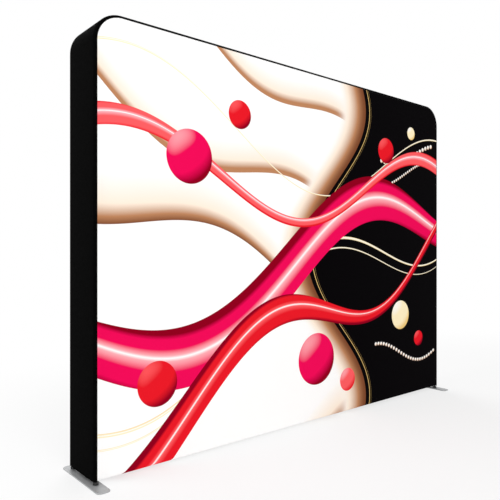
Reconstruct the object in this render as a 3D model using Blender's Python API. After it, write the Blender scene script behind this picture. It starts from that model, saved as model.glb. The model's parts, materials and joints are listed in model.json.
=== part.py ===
"""A free-standing lightbox display wall: a round-tube frame in two loops, a black tension-fabric
cover with a printed front, light bars inside, and a flat foot plate under each end.
X runs along the wall, -Y is the lit front, +Z is up, and the origin is on the floor."""

import math

import bmesh
import bpy

# The wall as a whole
WALL_WIDTH = 3.000
WALL_HEIGHT = 2.275
WALL_DEPTH = 0.300
CORNER_RADIUS = 0.150
FLOOR_GAP = 0.025
SEAT_GAP = 0.0003
CUT_OVERRUN = 0.004

# Frame tubes, with one end of a joint drawn down to plug into the other
TUBE_RADIUS = 0.016
TUBE_WALL = 0.0015
TUBE_SIDES = 12
BEND_STEPS = 8
TOP_TUBE_LENGTH = 1.000
SIDE_TUBE_TOP = 1.150
PLUG_LENGTH = 0.060
PLUG_TAPER = 0.003
PLUG_CLEARANCE = 0.0003

# Spring buttons that lock the plugged joints
BUTTON_RADIUS = 0.004
BUTTON_PROUD = 0.003
BUTTON_CLEARANCE = 0.0003
BUTTON_SIDES = 8
BUTTON_SHANK = 0.008
LEAF_LENGTH = 0.030
LEAF_WIDTH = 0.007
LEAF_THICKNESS = 0.001

# Cast corner fittings at the bottom
FITTING_ARM = 0.060
FITTING_UPRIGHT = 0.030
SPIGOT_LENGTH = 0.040
BOSS_RADIUS = 0.0095
THREAD_DEPTH = 0.022

# Snap-on cross bars: depth spreaders and light bars
BAR_THICKNESS = 0.008
BAR_WIDTH = 0.022
HOOK_WALL = 0.0022
HOOK_OPEN_SIDE_DEG = -55
HOOK_FAR_SIDE_DEG = 145
HOOK_STEP_DEG = 25
MIDDLE_SPREADER_OFFSET = 0.080
SIDE_SPREADER_DROP = 0.080
LIGHT_BAR_COUNT = 5
LENS_COUNT = 8
LENS_RADIUS = 0.008
LENS_HEIGHT = 0.003
LENS_SIDES = 6

# Power supply, its inlet and the cable harness
SUPPLY_WIDTH = 0.200
SUPPLY_HEIGHT = 0.092
SUPPLY_DEPTH = 0.045
SUPPLY_BACK_SPACE = 0.004
SUPPLY_FROM_END = 0.300
HOOK_SINK = 0.0008
INLET_FLANGE_WIDTH = 0.078
INLET_FLANGE_HEIGHT = 0.030
INLET_FLANGE_THICKNESS = 0.002
INLET_BODY_WIDTH = 0.066
INLET_BODY_HEIGHT = 0.024
INLET_BODY_DEPTH = 0.020
INLET_TOP_MARGIN = 0.010
SOCKET_WIDTH = 0.024
SOCKET_HEIGHT = 0.0165
SOCKET_DEPTH = 0.016
SOCKET_OFFSET = 0.0165
BLADE_LENGTH = 0.010
BLADE_WIDTH = 0.002
BLADE_HEIGHT = 0.004
BLADE_PITCH = 0.007
ROCKER_OFFSET = 0.020
ROCKER_WIDTH = 0.0115
ROCKER_HEIGHT = 0.018
ROCKER_BODY = 0.006
ROCKER_TILT_DEG = 10
ROCKER_PIN_RADIUS = 0.0015
ROCKER_PIN_LENGTH = 0.0015
ROCKER_SPACE = 0.0008
CABLE_RADIUS = 0.003
CABLE_SIDES = 8
CABLE_BRANCH_SHARE = 0.9
PLUG_BLOCK = 0.014
CABLE_RISE = 0.030

# Fabric cover, sewn from a printed front, black side strips and a black back
FABRIC = 0.001
EDGE_STEPS = 6
NOTCH_CLEARANCE = 0.006
FRONT_TURN_UNDER = 0.040
PORT_WIDTH = 0.090
PORT_ABOVE_INLET = 0.006

# Zip along the foot of the back
ZIP_ABOVE_BOTTOM = 0.058
ZIP_SLOT = 0.012
ZIP_TAPE_WIDTH = 0.028
ZIP_TAPE_THICKNESS = 0.0007
ZIP_CHAIN_WIDTH = 0.006
ZIP_CHAIN_PROUD = 0.0008
ZIP_END_MARGIN = 0.020
SLIDER_LENGTH = 0.016
SLIDER_PLATE = 0.002
SLIDER_FLANGE = 0.0012
SLIDER_FROM_END = 0.030
SLIDER_EAR = 0.0012
SLIDER_EAR_HEIGHT = 0.004
PULL_PIN_RADIUS = 0.0009
PULL_PIN_STAND = 0.003
PULL_BARREL_RADIUS = 0.0023
PULL_BARREL_WIDTH = 0.003
PULL_WIDTH = 0.008
PULL_NECK = 0.008
PULL_LENGTH = 0.034
PULL_THICKNESS = 0.0016
SMALL_SIDES = 12

# Foot plates and the captive hand bolts that hold them
FOOT_WIDTH = 0.070
FOOT_SIDE_OVERHANG = 0.022
FOOT_THICKNESS = 0.006
FOOT_FRONT_OVERHANG = 0.090
FOOT_BACK_OVERHANG = 0.040
FOOT_CORNER_RADIUS = 0.022
FOOT_CORNER_STEPS = 5
FOOT_EDGE_BEVEL = 0.0008
BOLT_RADIUS = 0.005
BOLT_CLEARANCE = 0.0004
BOLT_SIDES = 12
BOLT_ENGAGED = 0.018
RIVET_RADIUS = 0.0085
RIVET_THICKNESS = 0.0014
RIVET_RECESS = 0.0024
KNOB_RADIUS = 0.0135
KNOB_LOBE = 0.0018
KNOB_LOBES = 6
KNOB_LOBE_STEPS = 6
KNOB_HEIGHT_SHARE = 0.62
KNOB_NECK_RADIUS = 0.0075

# Places that follow from the sizes above
EDGE_RADIUS = TUBE_RADIUS + SEAT_GAP + FABRIC
TUBE_BORE = TUBE_RADIUS - TUBE_WALL
PLUG_RADIUS = TUBE_BORE - PLUG_CLEARANCE
PLUG_BORE = PLUG_RADIUS - TUBE_WALL
BEND_RADIUS = CORNER_RADIUS - EDGE_RADIUS
WALL_TOP = FLOOR_GAP + WALL_HEIGHT
WALL_MIDDLE_Y = (FOOT_FRONT_OVERHANG - FOOT_BACK_OVERHANG) / 2
FRONT_Y = WALL_MIDDLE_Y - WALL_DEPTH / 2
BACK_Y = WALL_MIDDLE_Y + WALL_DEPTH / 2
TUBE_X = WALL_WIDTH / 2 - EDGE_RADIUS
TUBE_FRONT_Y = FRONT_Y + EDGE_RADIUS
TUBE_BACK_Y = BACK_Y - EDGE_RADIUS
TUBE_BOTTOM_Z = FLOOR_GAP + EDGE_RADIUS
TUBE_TOP_Z = WALL_TOP - EDGE_RADIUS
PANEL_HALF_WIDTH = WALL_WIDTH / 2 - EDGE_RADIUS - SEAT_GAP
PANEL_TOP = WALL_TOP - EDGE_RADIUS - SEAT_GAP
PANEL_RADIUS = CORNER_RADIUS - EDGE_RADIUS - SEAT_GAP
NOTCH_X = TUBE_X - BOSS_RADIUS - NOTCH_CLEARANCE
ZIP_Z = FLOOR_GAP + ZIP_ABOVE_BOTTOM
HOOK_BORE = (TUBE_RADIUS + SEAT_GAP) / math.cos(math.radians(HOOK_STEP_DEG / 2))
HOOK_RADIUS = HOOK_BORE + HOOK_WALL
SUPPLY_HIGH_X = TUBE_X - SUPPLY_FROM_END
SUPPLY_LOW_X = SUPPLY_HIGH_X - SUPPLY_WIDTH
SUPPLY_BACK_Y = BACK_Y - SUPPLY_BACK_SPACE
SUPPLY_BOTTOM_Z = TUBE_BOTTOM_Z + HOOK_RADIUS - HOOK_SINK
SUPPLY_TOP_Z = SUPPLY_BOTTOM_Z + SUPPLY_HEIGHT
INLET_X = (SUPPLY_LOW_X + SUPPLY_HIGH_X) / 2
INLET_Z = SUPPLY_TOP_Z - INLET_TOP_MARGIN - INLET_FLANGE_HEIGHT / 2
INLET_FACE_Y = SUPPLY_BACK_Y + SEAT_GAP + INLET_FLANGE_THICKNESS
PORT_TOP = INLET_Z + INLET_FLANGE_HEIGHT / 2 + PORT_ABOVE_INLET
CABLE_Y = TUBE_BACK_Y - HOOK_RADIUS - SEAT_GAP - CABLE_RADIUS
CABLE_Z = TUBE_BOTTOM_Z + BAR_THICKNESS / 2 + SEAT_GAP + CABLE_RADIUS
CHAIN_FACE_Y = BACK_Y + ZIP_CHAIN_PROUD
TAPE_FACE_Y = BACK_Y - FABRIC - SEAT_GAP
SLIDER_X = PANEL_HALF_WIDTH - ZIP_END_MARGIN - SLIDER_FROM_END
SLIDER_FACE_Y = CHAIN_FACE_Y + SEAT_GAP + SLIDER_PLATE
PULL_PIN_Y = SLIDER_FACE_Y + PULL_PIN_STAND
FOOT_FRONT_Y = FRONT_Y - FOOT_FRONT_OVERHANG
FOOT_BACK_Y = BACK_Y + FOOT_BACK_OVERHANG
KNOB_BOTTOM_Z = FOOT_THICKNESS + SEAT_GAP
BOSS_BOTTOM_Z = FLOOR_GAP + FABRIC + SEAT_GAP
KNOB_TOP_Z = BOSS_BOTTOM_Z - SEAT_GAP

SIDES = {"left": -1, "right": 1}
LOOPS = {"front": TUBE_FRONT_Y, "back": TUBE_BACK_Y}


# Shape helpers

def circle(centre, radius, sides):
    """Points of a regular outline around a centre in the plane."""
    turns = [2 * math.pi * i / sides for i in range(sides)]
    return [(centre[0] + radius * math.cos(a), centre[1] + radius * math.sin(a)) for a in turns]


def arc(centre, radius, start_deg, end_deg, steps):
    """Points along part of a circle, both ends included."""
    turns = [math.radians(start_deg + (end_deg - start_deg) * i / steps) for i in range(steps + 1)]
    return [(centre[0] + radius * math.cos(a), centre[1] + radius * math.sin(a)) for a in turns]


def rectangle(low, high):
    return [low, (high[0], low[1]), high, (low[0], high[1])]


def rounded_rectangle(low, high, radius, steps):
    corners = (
        ((high[0] - radius, low[1] + radius), -90),
        ((high[0] - radius, high[1] - radius), 0),
        ((low[0] + radius, high[1] - radius), 90),
        ((low[0] + radius, low[1] + radius), 180),
    )
    return [p for centre, start in corners for p in arc(centre, radius, start, start + 90, steps)]


def prism(outline, axis, low, high):
    """A bar of constant outline along X, Y or Z. An outline's two numbers are the other axes in order."""
    def place(point, level):
        first, second = point
        return {"X": (level, first, second), "Y": (first, level, second), "Z": (first, second, level)}[axis]

    bm = bmesh.new()
    start = [bm.verts.new(place(p, low)) for p in outline]
    end = [bm.verts.new(place(p, high)) for p in outline]
    bm.faces.new(start)
    bm.faces.new(end[::-1])
    for i, here in enumerate(start):
        after = (i + 1) % len(outline)
        bm.faces.new((here, start[after], end[after], end[i]))
    return bm


def block(low, high):
    """A rectangular block between two opposite corners."""
    return prism(rectangle(low[:2], high[:2]), "Z", low[2], high[2])


def middle_block(centre, size):
    low = [c - s / 2 for c, s in zip(centre, size)]
    high = [c + s / 2 for c, s in zip(centre, size)]
    return block(tuple(low), tuple(high))


def rod(axis, centre, radius, low, high, sides):
    return prism(circle(centre, radius, sides), axis, low, high)


def ball(centre, radius, sides):
    bm = bmesh.new()
    bmesh.ops.create_uvsphere(bm, u_segments=sides, v_segments=sides // 2, radius=radius)
    bmesh.ops.translate(bm, verts=bm.verts, vec=centre)
    return bm


def skin(rings):
    """Joins rings of points, in order and back to the first, into one closed tube wall."""
    bm = bmesh.new()
    rows = [[bm.verts.new(p) for p in ring] for ring in rings]
    for first, second in zip(rows, rows[1:] + rows[:1]):
        for i in range(len(first)):
            after = (i + 1) % len(first)
            bm.faces.new((first[i], first[after], second[after], second[i]))
    return bm


def pipe(stations, sides=TUBE_SIDES):
    """A hollow tube along stations of (centre, across, second across, outer radius, bore radius)."""
    def ring(centre, u, v, radius):
        flat = circle((0, 0), radius, sides)
        return [tuple(centre[k] + a * u[k] + b * v[k] for k in range(3)) for a, b in flat]

    outer = [ring(c, u, v, out) for c, u, v, out, _ in stations]
    inner = [ring(c, u, v, bore) for c, u, v, _, bore in stations]
    return skin(outer + inner[::-1])


def material(name, colour, roughness, metallic=0.0):
    found = bpy.data.materials.new(name)
    found.use_nodes = True
    shader = found.node_tree.nodes["Principled BSDF"]
    shader.inputs["Base Color"].default_value = (*colour, 1)
    shader.inputs["Roughness"].default_value = roughness
    shader.inputs["Metallic"].default_value = metallic
    return found


def add_object(name, bm, finish=None):
    bmesh.ops.recalc_face_normals(bm, faces=bm.faces)
    mesh = bpy.data.meshes.new(name)
    bm.to_mesh(mesh)
    bm.free()
    obj = bpy.data.objects.new(name, mesh)
    bpy.context.collection.objects.link(obj)
    if finish:
        mesh.materials.append(finish)
    return obj


def combine(obj, tool, operation):
    """Adds, cuts or keeps the shape of another mesh, and leaves one plain mesh."""
    helper = add_object("tool", tool)
    change = obj.modifiers.new("change", "BOOLEAN")
    change.operation = operation
    change.object = helper
    graph = bpy.context.evaluated_depsgraph_get()
    changed = bpy.data.meshes.new_from_object(obj.evaluated_get(graph))
    obj.modifiers.remove(change)
    old, tool_mesh = obj.data, helper.data
    obj.data = changed
    bpy.data.objects.remove(helper)
    bpy.data.meshes.remove(old)
    bpy.data.meshes.remove(tool_mesh)


def unite(obj, *tools):
    for tool in tools:
        combine(obj, tool, "UNION")


def cut(obj, *tools):
    for tool in tools:
        combine(obj, tool, "DIFFERENCE")


def shade_round(obj, angle_deg=35):
    obj.data.shade_smooth()
    obj.data.set_sharp_from_angle(angle=math.radians(angle_deg))


def place_copy(source, name, location):
    """Another of the same piece, at its own place."""
    copy = bpy.data.objects.new(name, source.data)
    copy.location = location
    bpy.context.collection.objects.link(copy)
    return copy


def set_origin(obj, point):
    """Moves an object's origin to a point, such as a joint's axis, and leaves the piece where it is."""
    for vertex in obj.data.vertices:
        vertex.co = [c - p for c, p in zip(vertex.co, point)]
    obj.location = point


# Frame tubes

X_AXIS, Y_AXIS, Z_AXIS = (1, 0, 0), (0, 1, 0), (0, 0, 1)


def plug_stations(shoulder, tip_sign, place, u, v):
    """The drawn-down end of a tube, from its full width at the shoulder to the tip."""
    return [
        (place(shoulder), u, v, TUBE_RADIUS, TUBE_BORE),
        (place(shoulder + tip_sign * PLUG_TAPER), u, v, PLUG_RADIUS, PLUG_BORE),
        (place(shoulder + tip_sign * (PLUG_TAPER + PLUG_LENGTH)), u, v, PLUG_RADIUS, PLUG_BORE),
    ]


def socket_station(end, place, u, v):
    return [(place(end), u, v, TUBE_RADIUS, TUBE_BORE)]


def top_tube(name, y, finish):
    """Straight middle of the top, with a plug at each end."""
    half = TOP_TUBE_LENGTH / 2

    def place(x):
        return (x, y, TUBE_TOP_Z)

    stations = plug_stations(-half, -1, place, Y_AXIS, Z_AXIS)[::-1]
    stations += plug_stations(half, 1, place, Y_AXIS, Z_AXIS)
    tube = add_object(name, pipe(stations), finish)
    for sign in SIDES.values():
        cut(tube, button_hole(place(sign * (half + PLUG_TAPER + PLUG_LENGTH / 2)), "Z", -1))
    return tube


def side_tube(name, sign, y, finish):
    """Lower upright: a socket over the bottom fitting and a plug at the top."""
    def place(z):
        return (sign * TUBE_X, y, z)

    bottom = TUBE_BOTTOM_Z + FITTING_UPRIGHT + SEAT_GAP
    stations = socket_station(bottom, place, X_AXIS, Y_AXIS)
    stations += plug_stations(SIDE_TUBE_TOP, 1, place, X_AXIS, Y_AXIS)
    tube = add_object(name, pipe(stations), finish)
    cut(tube, button_hole(place(SIDE_TUBE_TOP + PLUG_TAPER + PLUG_LENGTH / 2), "X", -sign))
    return tube


def corner_tube(name, sign, y, finish):
    """Upper corner, bent from one tube, with a socket at both ends."""
    centre_x, centre_z = sign * (TUBE_X - BEND_RADIUS), TUBE_TOP_Z - BEND_RADIUS
    low = SIDE_TUBE_TOP + PLUG_TAPER + SEAT_GAP
    stations = [((sign * TUBE_X, y, low), (sign, 0, 0), Y_AXIS, TUBE_RADIUS, TUBE_BORE)]
    for i in range(BEND_STEPS + 1):
        turn = math.radians(90 * i / BEND_STEPS)
        out = (sign * math.cos(turn), 0, math.sin(turn))
        centre = (centre_x + BEND_RADIUS * out[0], y, centre_z + BEND_RADIUS * out[2])
        stations.append((centre, out, Y_AXIS, TUBE_RADIUS, TUBE_BORE))
    near = sign * (TOP_TUBE_LENGTH / 2 + PLUG_TAPER + SEAT_GAP)
    stations.append(((near, y, TUBE_TOP_Z), Z_AXIS, Y_AXIS, TUBE_RADIUS, TUBE_BORE))
    tube = add_object(name, pipe(stations), finish)
    top_hole_x = sign * (TOP_TUBE_LENGTH / 2 + PLUG_TAPER + PLUG_LENGTH / 2)
    side_hole_z = SIDE_TUBE_TOP + PLUG_TAPER + PLUG_LENGTH / 2
    cut(tube, button_hole((top_hole_x, y, TUBE_TOP_Z), "Z", -1))
    cut(tube, button_hole((sign * TUBE_X, y, side_hole_z), "X", -sign))
    return tube


def bottom_tube(name, sign, y, finish):
    """Half of the bottom rail. The left one has the plug in the middle, the right one its socket."""
    def place(x):
        return (x, y, TUBE_BOTTOM_Z)

    outer = sign * (TUBE_X - FITTING_ARM - SEAT_GAP)
    stations = socket_station(outer, place, Y_AXIS, Z_AXIS)
    if sign < 0:
        stations += plug_stations(0, 1, place, Y_AXIS, Z_AXIS)
    else:
        stations += socket_station(PLUG_TAPER + SEAT_GAP, place, Y_AXIS, Z_AXIS)
    tube = add_object(name, pipe(stations), finish)
    cut(tube, button_hole(place(PLUG_TAPER + PLUG_LENGTH / 2), "Z", 1))
    return tube


def build_tubes(finish):
    for loop, y in LOOPS.items():
        made = [top_tube(f"{loop}_top_tube", y, finish)]
        for side, sign in SIDES.items():
            made.append(corner_tube(f"{loop}_corner_tube_{side}", sign, y, finish))
            made.append(side_tube(f"{loop}_side_tube_{side}", sign, y, finish))
            made.append(bottom_tube(f"{loop}_bottom_tube_{side}", sign, y, finish))
        for tube in made:
            shade_round(tube)


# Spring buttons

def pointing(centre, axis, sign, near, far, radius, sides):
    """A rod that leaves a centre along +axis or -axis, from near to far."""
    index = "XYZ".index(axis)
    ends = sorted(centre[index] + sign * d for d in (near, far))
    flat = tuple(c for k, c in enumerate(centre) if k != index)
    return rod(axis, flat, radius, ends[0], ends[1], sides)


def button_hole(centre, axis, sign):
    """The hole through one wall of a tube, or of a tube and its plug."""
    radius = BUTTON_RADIUS + BUTTON_CLEARANCE
    return pointing(centre, axis, sign, PLUG_BORE / 2, TUBE_RADIUS + CUT_OVERRUN, radius, BUTTON_SIDES)


def snap_button(name, centre, axis, sign, tube_axis, tip_sign, finish):
    """A steel pin on a spring leaf inside the plug. It points into the box, away from the fabric."""
    bore_flat = PLUG_BORE * math.cos(math.pi / TUBE_SIDES)
    leaf_face = math.sqrt(bore_flat**2 - (LEAF_WIDTH / 2) ** 2) - SEAT_GAP
    reach = TUBE_RADIUS + BUTTON_PROUD
    shaft = pointing(centre, axis, sign, BUTTON_SHANK, reach, BUTTON_RADIUS, BUTTON_SIDES)
    button = add_object(name, shaft, finish)
    across = "XYZ".index(axis)
    along = "XYZ".index(tube_axis)
    width = 3 - across - along
    low, high = list(centre), list(centre)
    low[width] -= LEAF_WIDTH / 2
    high[width] += LEAF_WIDTH / 2
    faces = sorted(centre[across] + sign * d for d in (leaf_face - LEAF_THICKNESS, leaf_face))
    low[across], high[across] = faces
    ends = sorted(centre[along] - tip_sign * d for d in (-LEAF_WIDTH / 2, LEAF_LENGTH))
    low[along], high[along] = ends
    unite(button, block(tuple(low), tuple(high)))
    set_origin(button, centre)
    shade_round(button)


def build_buttons(finish):
    middle = PLUG_TAPER + PLUG_LENGTH / 2
    for loop, y in LOOPS.items():
        for side, sign in SIDES.items():
            top = (sign * (TOP_TUBE_LENGTH / 2 + middle), y, TUBE_TOP_Z)
            snap_button(f"snap_button_{loop}_top_{side}", top, "Z", -1, "X", sign, finish)
            upright = (sign * TUBE_X, y, SIDE_TUBE_TOP + middle)
            snap_button(f"snap_button_{loop}_side_{side}", upright, "X", -sign, "Z", 1, finish)
        bottom = (middle, y, TUBE_BOTTOM_Z)
        snap_button(f"snap_button_{loop}_bottom", bottom, "Z", 1, "X", 1, finish)


# Bottom corner fittings

def corner_fitting(name, x_sign, y_sign, finish):
    """A cast three-way corner with a spigot into each tube and a boss for the hand bolt."""
    x, y, z = x_sign * TUBE_X, WALL_MIDDLE_Y + y_sign * (WALL_DEPTH / 2 - EDGE_RADIUS), TUBE_BOTTOM_Z
    fitting = add_object(name, rod("Z", (x, y), TUBE_RADIUS, z, z + FITTING_UPRIGHT, TUBE_SIDES), finish)
    unite(fitting, ball((x, y, z), TUBE_RADIUS - SEAT_GAP, TUBE_SIDES))
    tip = FITTING_UPRIGHT + SPIGOT_LENGTH
    unite(fitting, rod("Z", (x, y), PLUG_RADIUS, z, z + tip, TUBE_SIDES))
    for axis, start, inward, flat, arm in (
        ("X", x, -x_sign, (y, z), FITTING_ARM),
        ("Y", y, -y_sign, (x, z), FITTING_UPRIGHT),
    ):
        for radius, reach in ((TUBE_RADIUS, arm), (PLUG_RADIUS, arm + SPIGOT_LENGTH)):
            ends = sorted((start, start + inward * reach))
            unite(fitting, rod(axis, flat, radius, ends[0], ends[1], TUBE_SIDES))
    unite(fitting, rod("Z", (x, y), BOSS_RADIUS, BOSS_BOTTOM_Z, z, TUBE_SIDES))
    hole_top = BOSS_BOTTOM_Z + THREAD_DEPTH
    hole_radius = BOLT_RADIUS + BOLT_CLEARANCE
    cut(fitting, rod("Z", (x, y), hole_radius, BOSS_BOTTOM_Z - CUT_OVERRUN, hole_top, BOLT_SIDES))
    shade_round(fitting)


def build_fittings(finish):
    for side, x_sign in SIDES.items():
        for loop, y_sign in (("front", -1), ("back", 1)):
            corner_fitting(f"corner_fitting_{loop}_{side}", x_sign, y_sign, finish)


# Snap-on cross bars

def hook_points(centre, along, half_bar):
    """One end of a cross bar: a C-shaped hook round a tube, open away from the bar.
    The first number of a point runs along the bar, the second away from the fabric."""
    lean = math.degrees(math.asin(half_bar / HOOK_RADIUS))
    steps = max(2, round((HOOK_FAR_SIDE_DEG - HOOK_OPEN_SIDE_DEG) / HOOK_STEP_DEG))
    near_steps = max(1, round((-lean - HOOK_OPEN_SIDE_DEG) / HOOK_STEP_DEG))
    far_steps = max(1, round((HOOK_FAR_SIDE_DEG - lean) / HOOK_STEP_DEG))
    points = arc((0, 0), HOOK_RADIUS, -lean, HOOK_OPEN_SIDE_DEG, near_steps)
    points += arc((0, 0), HOOK_BORE, HOOK_OPEN_SIDE_DEG, HOOK_FAR_SIDE_DEG, steps)
    points += arc((0, 0), HOOK_RADIUS, HOOK_FAR_SIDE_DEG, lean, far_steps)
    return [(centre + along * a, b) for a, b in points]


def cross_bar_outline(span):
    """The whole bar seen along the tubes: a flat bar with a hook at each end."""
    half_bar = BAR_THICKNESS / 2
    return hook_points(0, 1, half_bar) + hook_points(span, -1, half_bar)[::-1]


def spreader(name, tube_axis, level, flat, finish):
    """A bar that holds the two loops apart. flat turns an outline point into the plane across the tubes."""
    span = TUBE_BACK_Y - TUBE_FRONT_Y
    outline = [flat(a, b) for a, b in cross_bar_outline(span)]
    bar = add_object(name, prism(outline, tube_axis, level - BAR_WIDTH / 2, level + BAR_WIDTH / 2), finish)
    shade_round(bar)


def bottom_spreader(name, sign, finish):
    """The tube between a front and a back corner fitting."""
    low = TUBE_FRONT_Y + FITTING_UPRIGHT + SEAT_GAP
    high = TUBE_BACK_Y - FITTING_UPRIGHT - SEAT_GAP
    ends = [((sign * TUBE_X, y, TUBE_BOTTOM_Z), X_AXIS, Z_AXIS, TUBE_RADIUS, TUBE_BORE) for y in (low, high)]
    shade_round(add_object(name, pipe(ends), finish))


def build_spreaders(bar_finish, tube_finish):
    for side, sign in SIDES.items():
        bottom_spreader(f"spreader_bottom_{side}", sign, tube_finish)
        side_level = SIDE_TUBE_TOP - SIDE_SPREADER_DROP
        spreader(
            f"spreader_side_{side}", "Z", side_level,
            lambda a, b, s=sign: (s * (TUBE_X - b), TUBE_FRONT_Y + a), bar_finish,
        )
    spreader(
        "spreader_top_middle", "X", -MIDDLE_SPREADER_OFFSET,
        lambda a, b: (TUBE_FRONT_Y + a, TUBE_TOP_Z - b), bar_finish,
    )
    spreader(
        "spreader_bottom_middle", "X", -MIDDLE_SPREADER_OFFSET,
        lambda a, b: (TUBE_FRONT_Y + a, TUBE_BOTTOM_Z + b), bar_finish,
    )


# Light bars

def light_bar_places():
    """The middle of each light bar along the wall, evenly spread."""
    pitch = WALL_WIDTH / LIGHT_BAR_COUNT
    return [(i + 0.5) * pitch - WALL_WIDTH / 2 for i in range(LIGHT_BAR_COUNT)]


def build_light_bars(finish):
    """Each bar hooks on the back loop's top and bottom tubes and carries a row of lenses."""
    span = TUBE_TOP_Z - TUBE_BOTTOM_Z
    outline = [(-b, a) for a, b in cross_bar_outline(span)]
    half = BAR_WIDTH / 2
    places = light_bar_places()
    first = add_object("light_bar_1", prism(outline, "X", -half, half), finish)
    for i in range(LENS_COUNT):
        level = span * (i + 0.5) / LENS_COUNT
        face = -BAR_THICKNESS / 2
        unite(first, rod("Y", (0, level), LENS_RADIUS, face - LENS_HEIGHT, 0, LENS_SIDES))
    shade_round(first)
    first.location = (places[0], TUBE_BACK_Y, TUBE_BOTTOM_Z)
    for i, x in enumerate(places[1:], start=2):
        place_copy(first, f"light_bar_{i}", (x, TUBE_BACK_Y, TUBE_BOTTOM_Z))


# Power supply, inlet, switch and harness

def build_supply(finish):
    """A sealed driver that hooks on the back bottom tube, with a pocket for the inlet."""
    low = (SUPPLY_LOW_X, SUPPLY_BACK_Y - SUPPLY_DEPTH, SUPPLY_BOTTOM_Z)
    high = (SUPPLY_HIGH_X, SUPPLY_BACK_Y, SUPPLY_TOP_Z)
    supply = add_object("power_supply", block(low, high), finish)
    hook = hook_points(0, 1, BAR_THICKNESS / 2)
    outline = [(TUBE_BACK_Y - b, TUBE_BOTTOM_Z + a) for a, b in hook]
    for x in (SUPPLY_LOW_X + BAR_WIDTH, SUPPLY_HIGH_X - BAR_WIDTH):
        unite(supply, prism(outline, "X", x - BAR_WIDTH / 2, x + BAR_WIDTH / 2))
    room = 2 * SEAT_GAP
    pocket = (INLET_BODY_WIDTH + room, INLET_BODY_HEIGHT + room)
    middle_y = SUPPLY_BACK_Y - (INLET_BODY_DEPTH + room - CUT_OVERRUN) / 2
    size = (pocket[0], INLET_BODY_DEPTH + room + CUT_OVERRUN, pocket[1])
    cut(supply, middle_block((INLET_X, middle_y, INLET_Z), size))


def build_inlet(finish):
    """A mains inlet and a switch well in one moulded flange."""
    flange_y = INLET_FACE_Y - INLET_FLANGE_THICKNESS / 2
    flange = middle_block(
        (INLET_X, flange_y, INLET_Z), (INLET_FLANGE_WIDTH, INLET_FLANGE_THICKNESS, INLET_FLANGE_HEIGHT)
    )
    inlet = add_object("power_inlet", flange, finish)
    body_back = SUPPLY_BACK_Y - INLET_BODY_DEPTH + SEAT_GAP
    body_low = (INLET_X - INLET_BODY_WIDTH / 2, body_back, INLET_Z - INLET_BODY_HEIGHT / 2)
    body_high = (INLET_X + INLET_BODY_WIDTH / 2, flange_y, INLET_Z + INLET_BODY_HEIGHT / 2)
    unite(inlet, block(body_low, body_high))
    socket_x = INLET_X - SOCKET_OFFSET
    floor_y = INLET_FACE_Y - SOCKET_DEPTH
    socket_y = (floor_y + INLET_FACE_Y + CUT_OVERRUN) / 2
    cut(inlet, middle_block(
        (socket_x, socket_y, INLET_Z), (SOCKET_WIDTH, SOCKET_DEPTH + CUT_OVERRUN, SOCKET_HEIGHT)
    ))
    blade_y = floor_y + BLADE_LENGTH / 2 - SEAT_GAP
    for step, rise in ((-1, -1), (0, 1), (1, -1)):
        centre = (socket_x + step * BLADE_PITCH, blade_y, INLET_Z + rise * BLADE_HEIGHT / 2)
        unite(inlet, middle_block(centre, (BLADE_WIDTH, BLADE_LENGTH, BLADE_HEIGHT)))
    cut_rocker_well(inlet)


def rocker_axis():
    return (INLET_X + ROCKER_OFFSET, INLET_FACE_Y - ROCKER_BODY / 2, INLET_Z)


def cut_rocker_well(inlet):
    """The well that the rocker swings in, with a hole on each side for its pivot pins."""
    x, y, z = rocker_axis()
    depth = ROCKER_HEIGHT / 2 + ROCKER_SPACE
    size = (ROCKER_WIDTH + 2 * SEAT_GAP, depth + CUT_OVERRUN, ROCKER_HEIGHT + 2 * ROCKER_SPACE)
    cut(inlet, middle_block((x, INLET_FACE_Y + (CUT_OVERRUN - depth) / 2, z), size))
    reach = ROCKER_WIDTH / 2 + ROCKER_PIN_LENGTH + 2 * SEAT_GAP
    radius = ROCKER_PIN_RADIUS + SEAT_GAP
    cut(inlet, rod("X", (y, z), radius, x - reach, x + reach, SMALL_SIDES))


def build_rocker(finish):
    """The switch rocker, a wide V that is on at rest, with pivot pins on its long axis."""
    x, y, z = rocker_axis()
    half = ROCKER_HEIGHT / 2
    slope = half * math.tan(math.radians(ROCKER_TILT_DEG))
    face = ROCKER_BODY / 2
    shape = [(-face, -half / 2), (face + slope, -half), (face, 0), (face + slope, half), (-face, half / 2)]
    turn = math.radians(ROCKER_TILT_DEG)
    outline = [
        (y + a * math.cos(turn) - b * math.sin(turn), z + a * math.sin(turn) + b * math.cos(turn))
        for a, b in shape
    ]
    rocker = add_object(
        "rocker_switch", prism(outline, "X", x - ROCKER_WIDTH / 2, x + ROCKER_WIDTH / 2), finish
    )
    reach = ROCKER_WIDTH / 2 + ROCKER_PIN_LENGTH
    unite(rocker, rod("X", (y, z), ROCKER_PIN_RADIUS, x - reach, x + reach, SMALL_SIDES))
    set_origin(rocker, (x, y, z))


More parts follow.
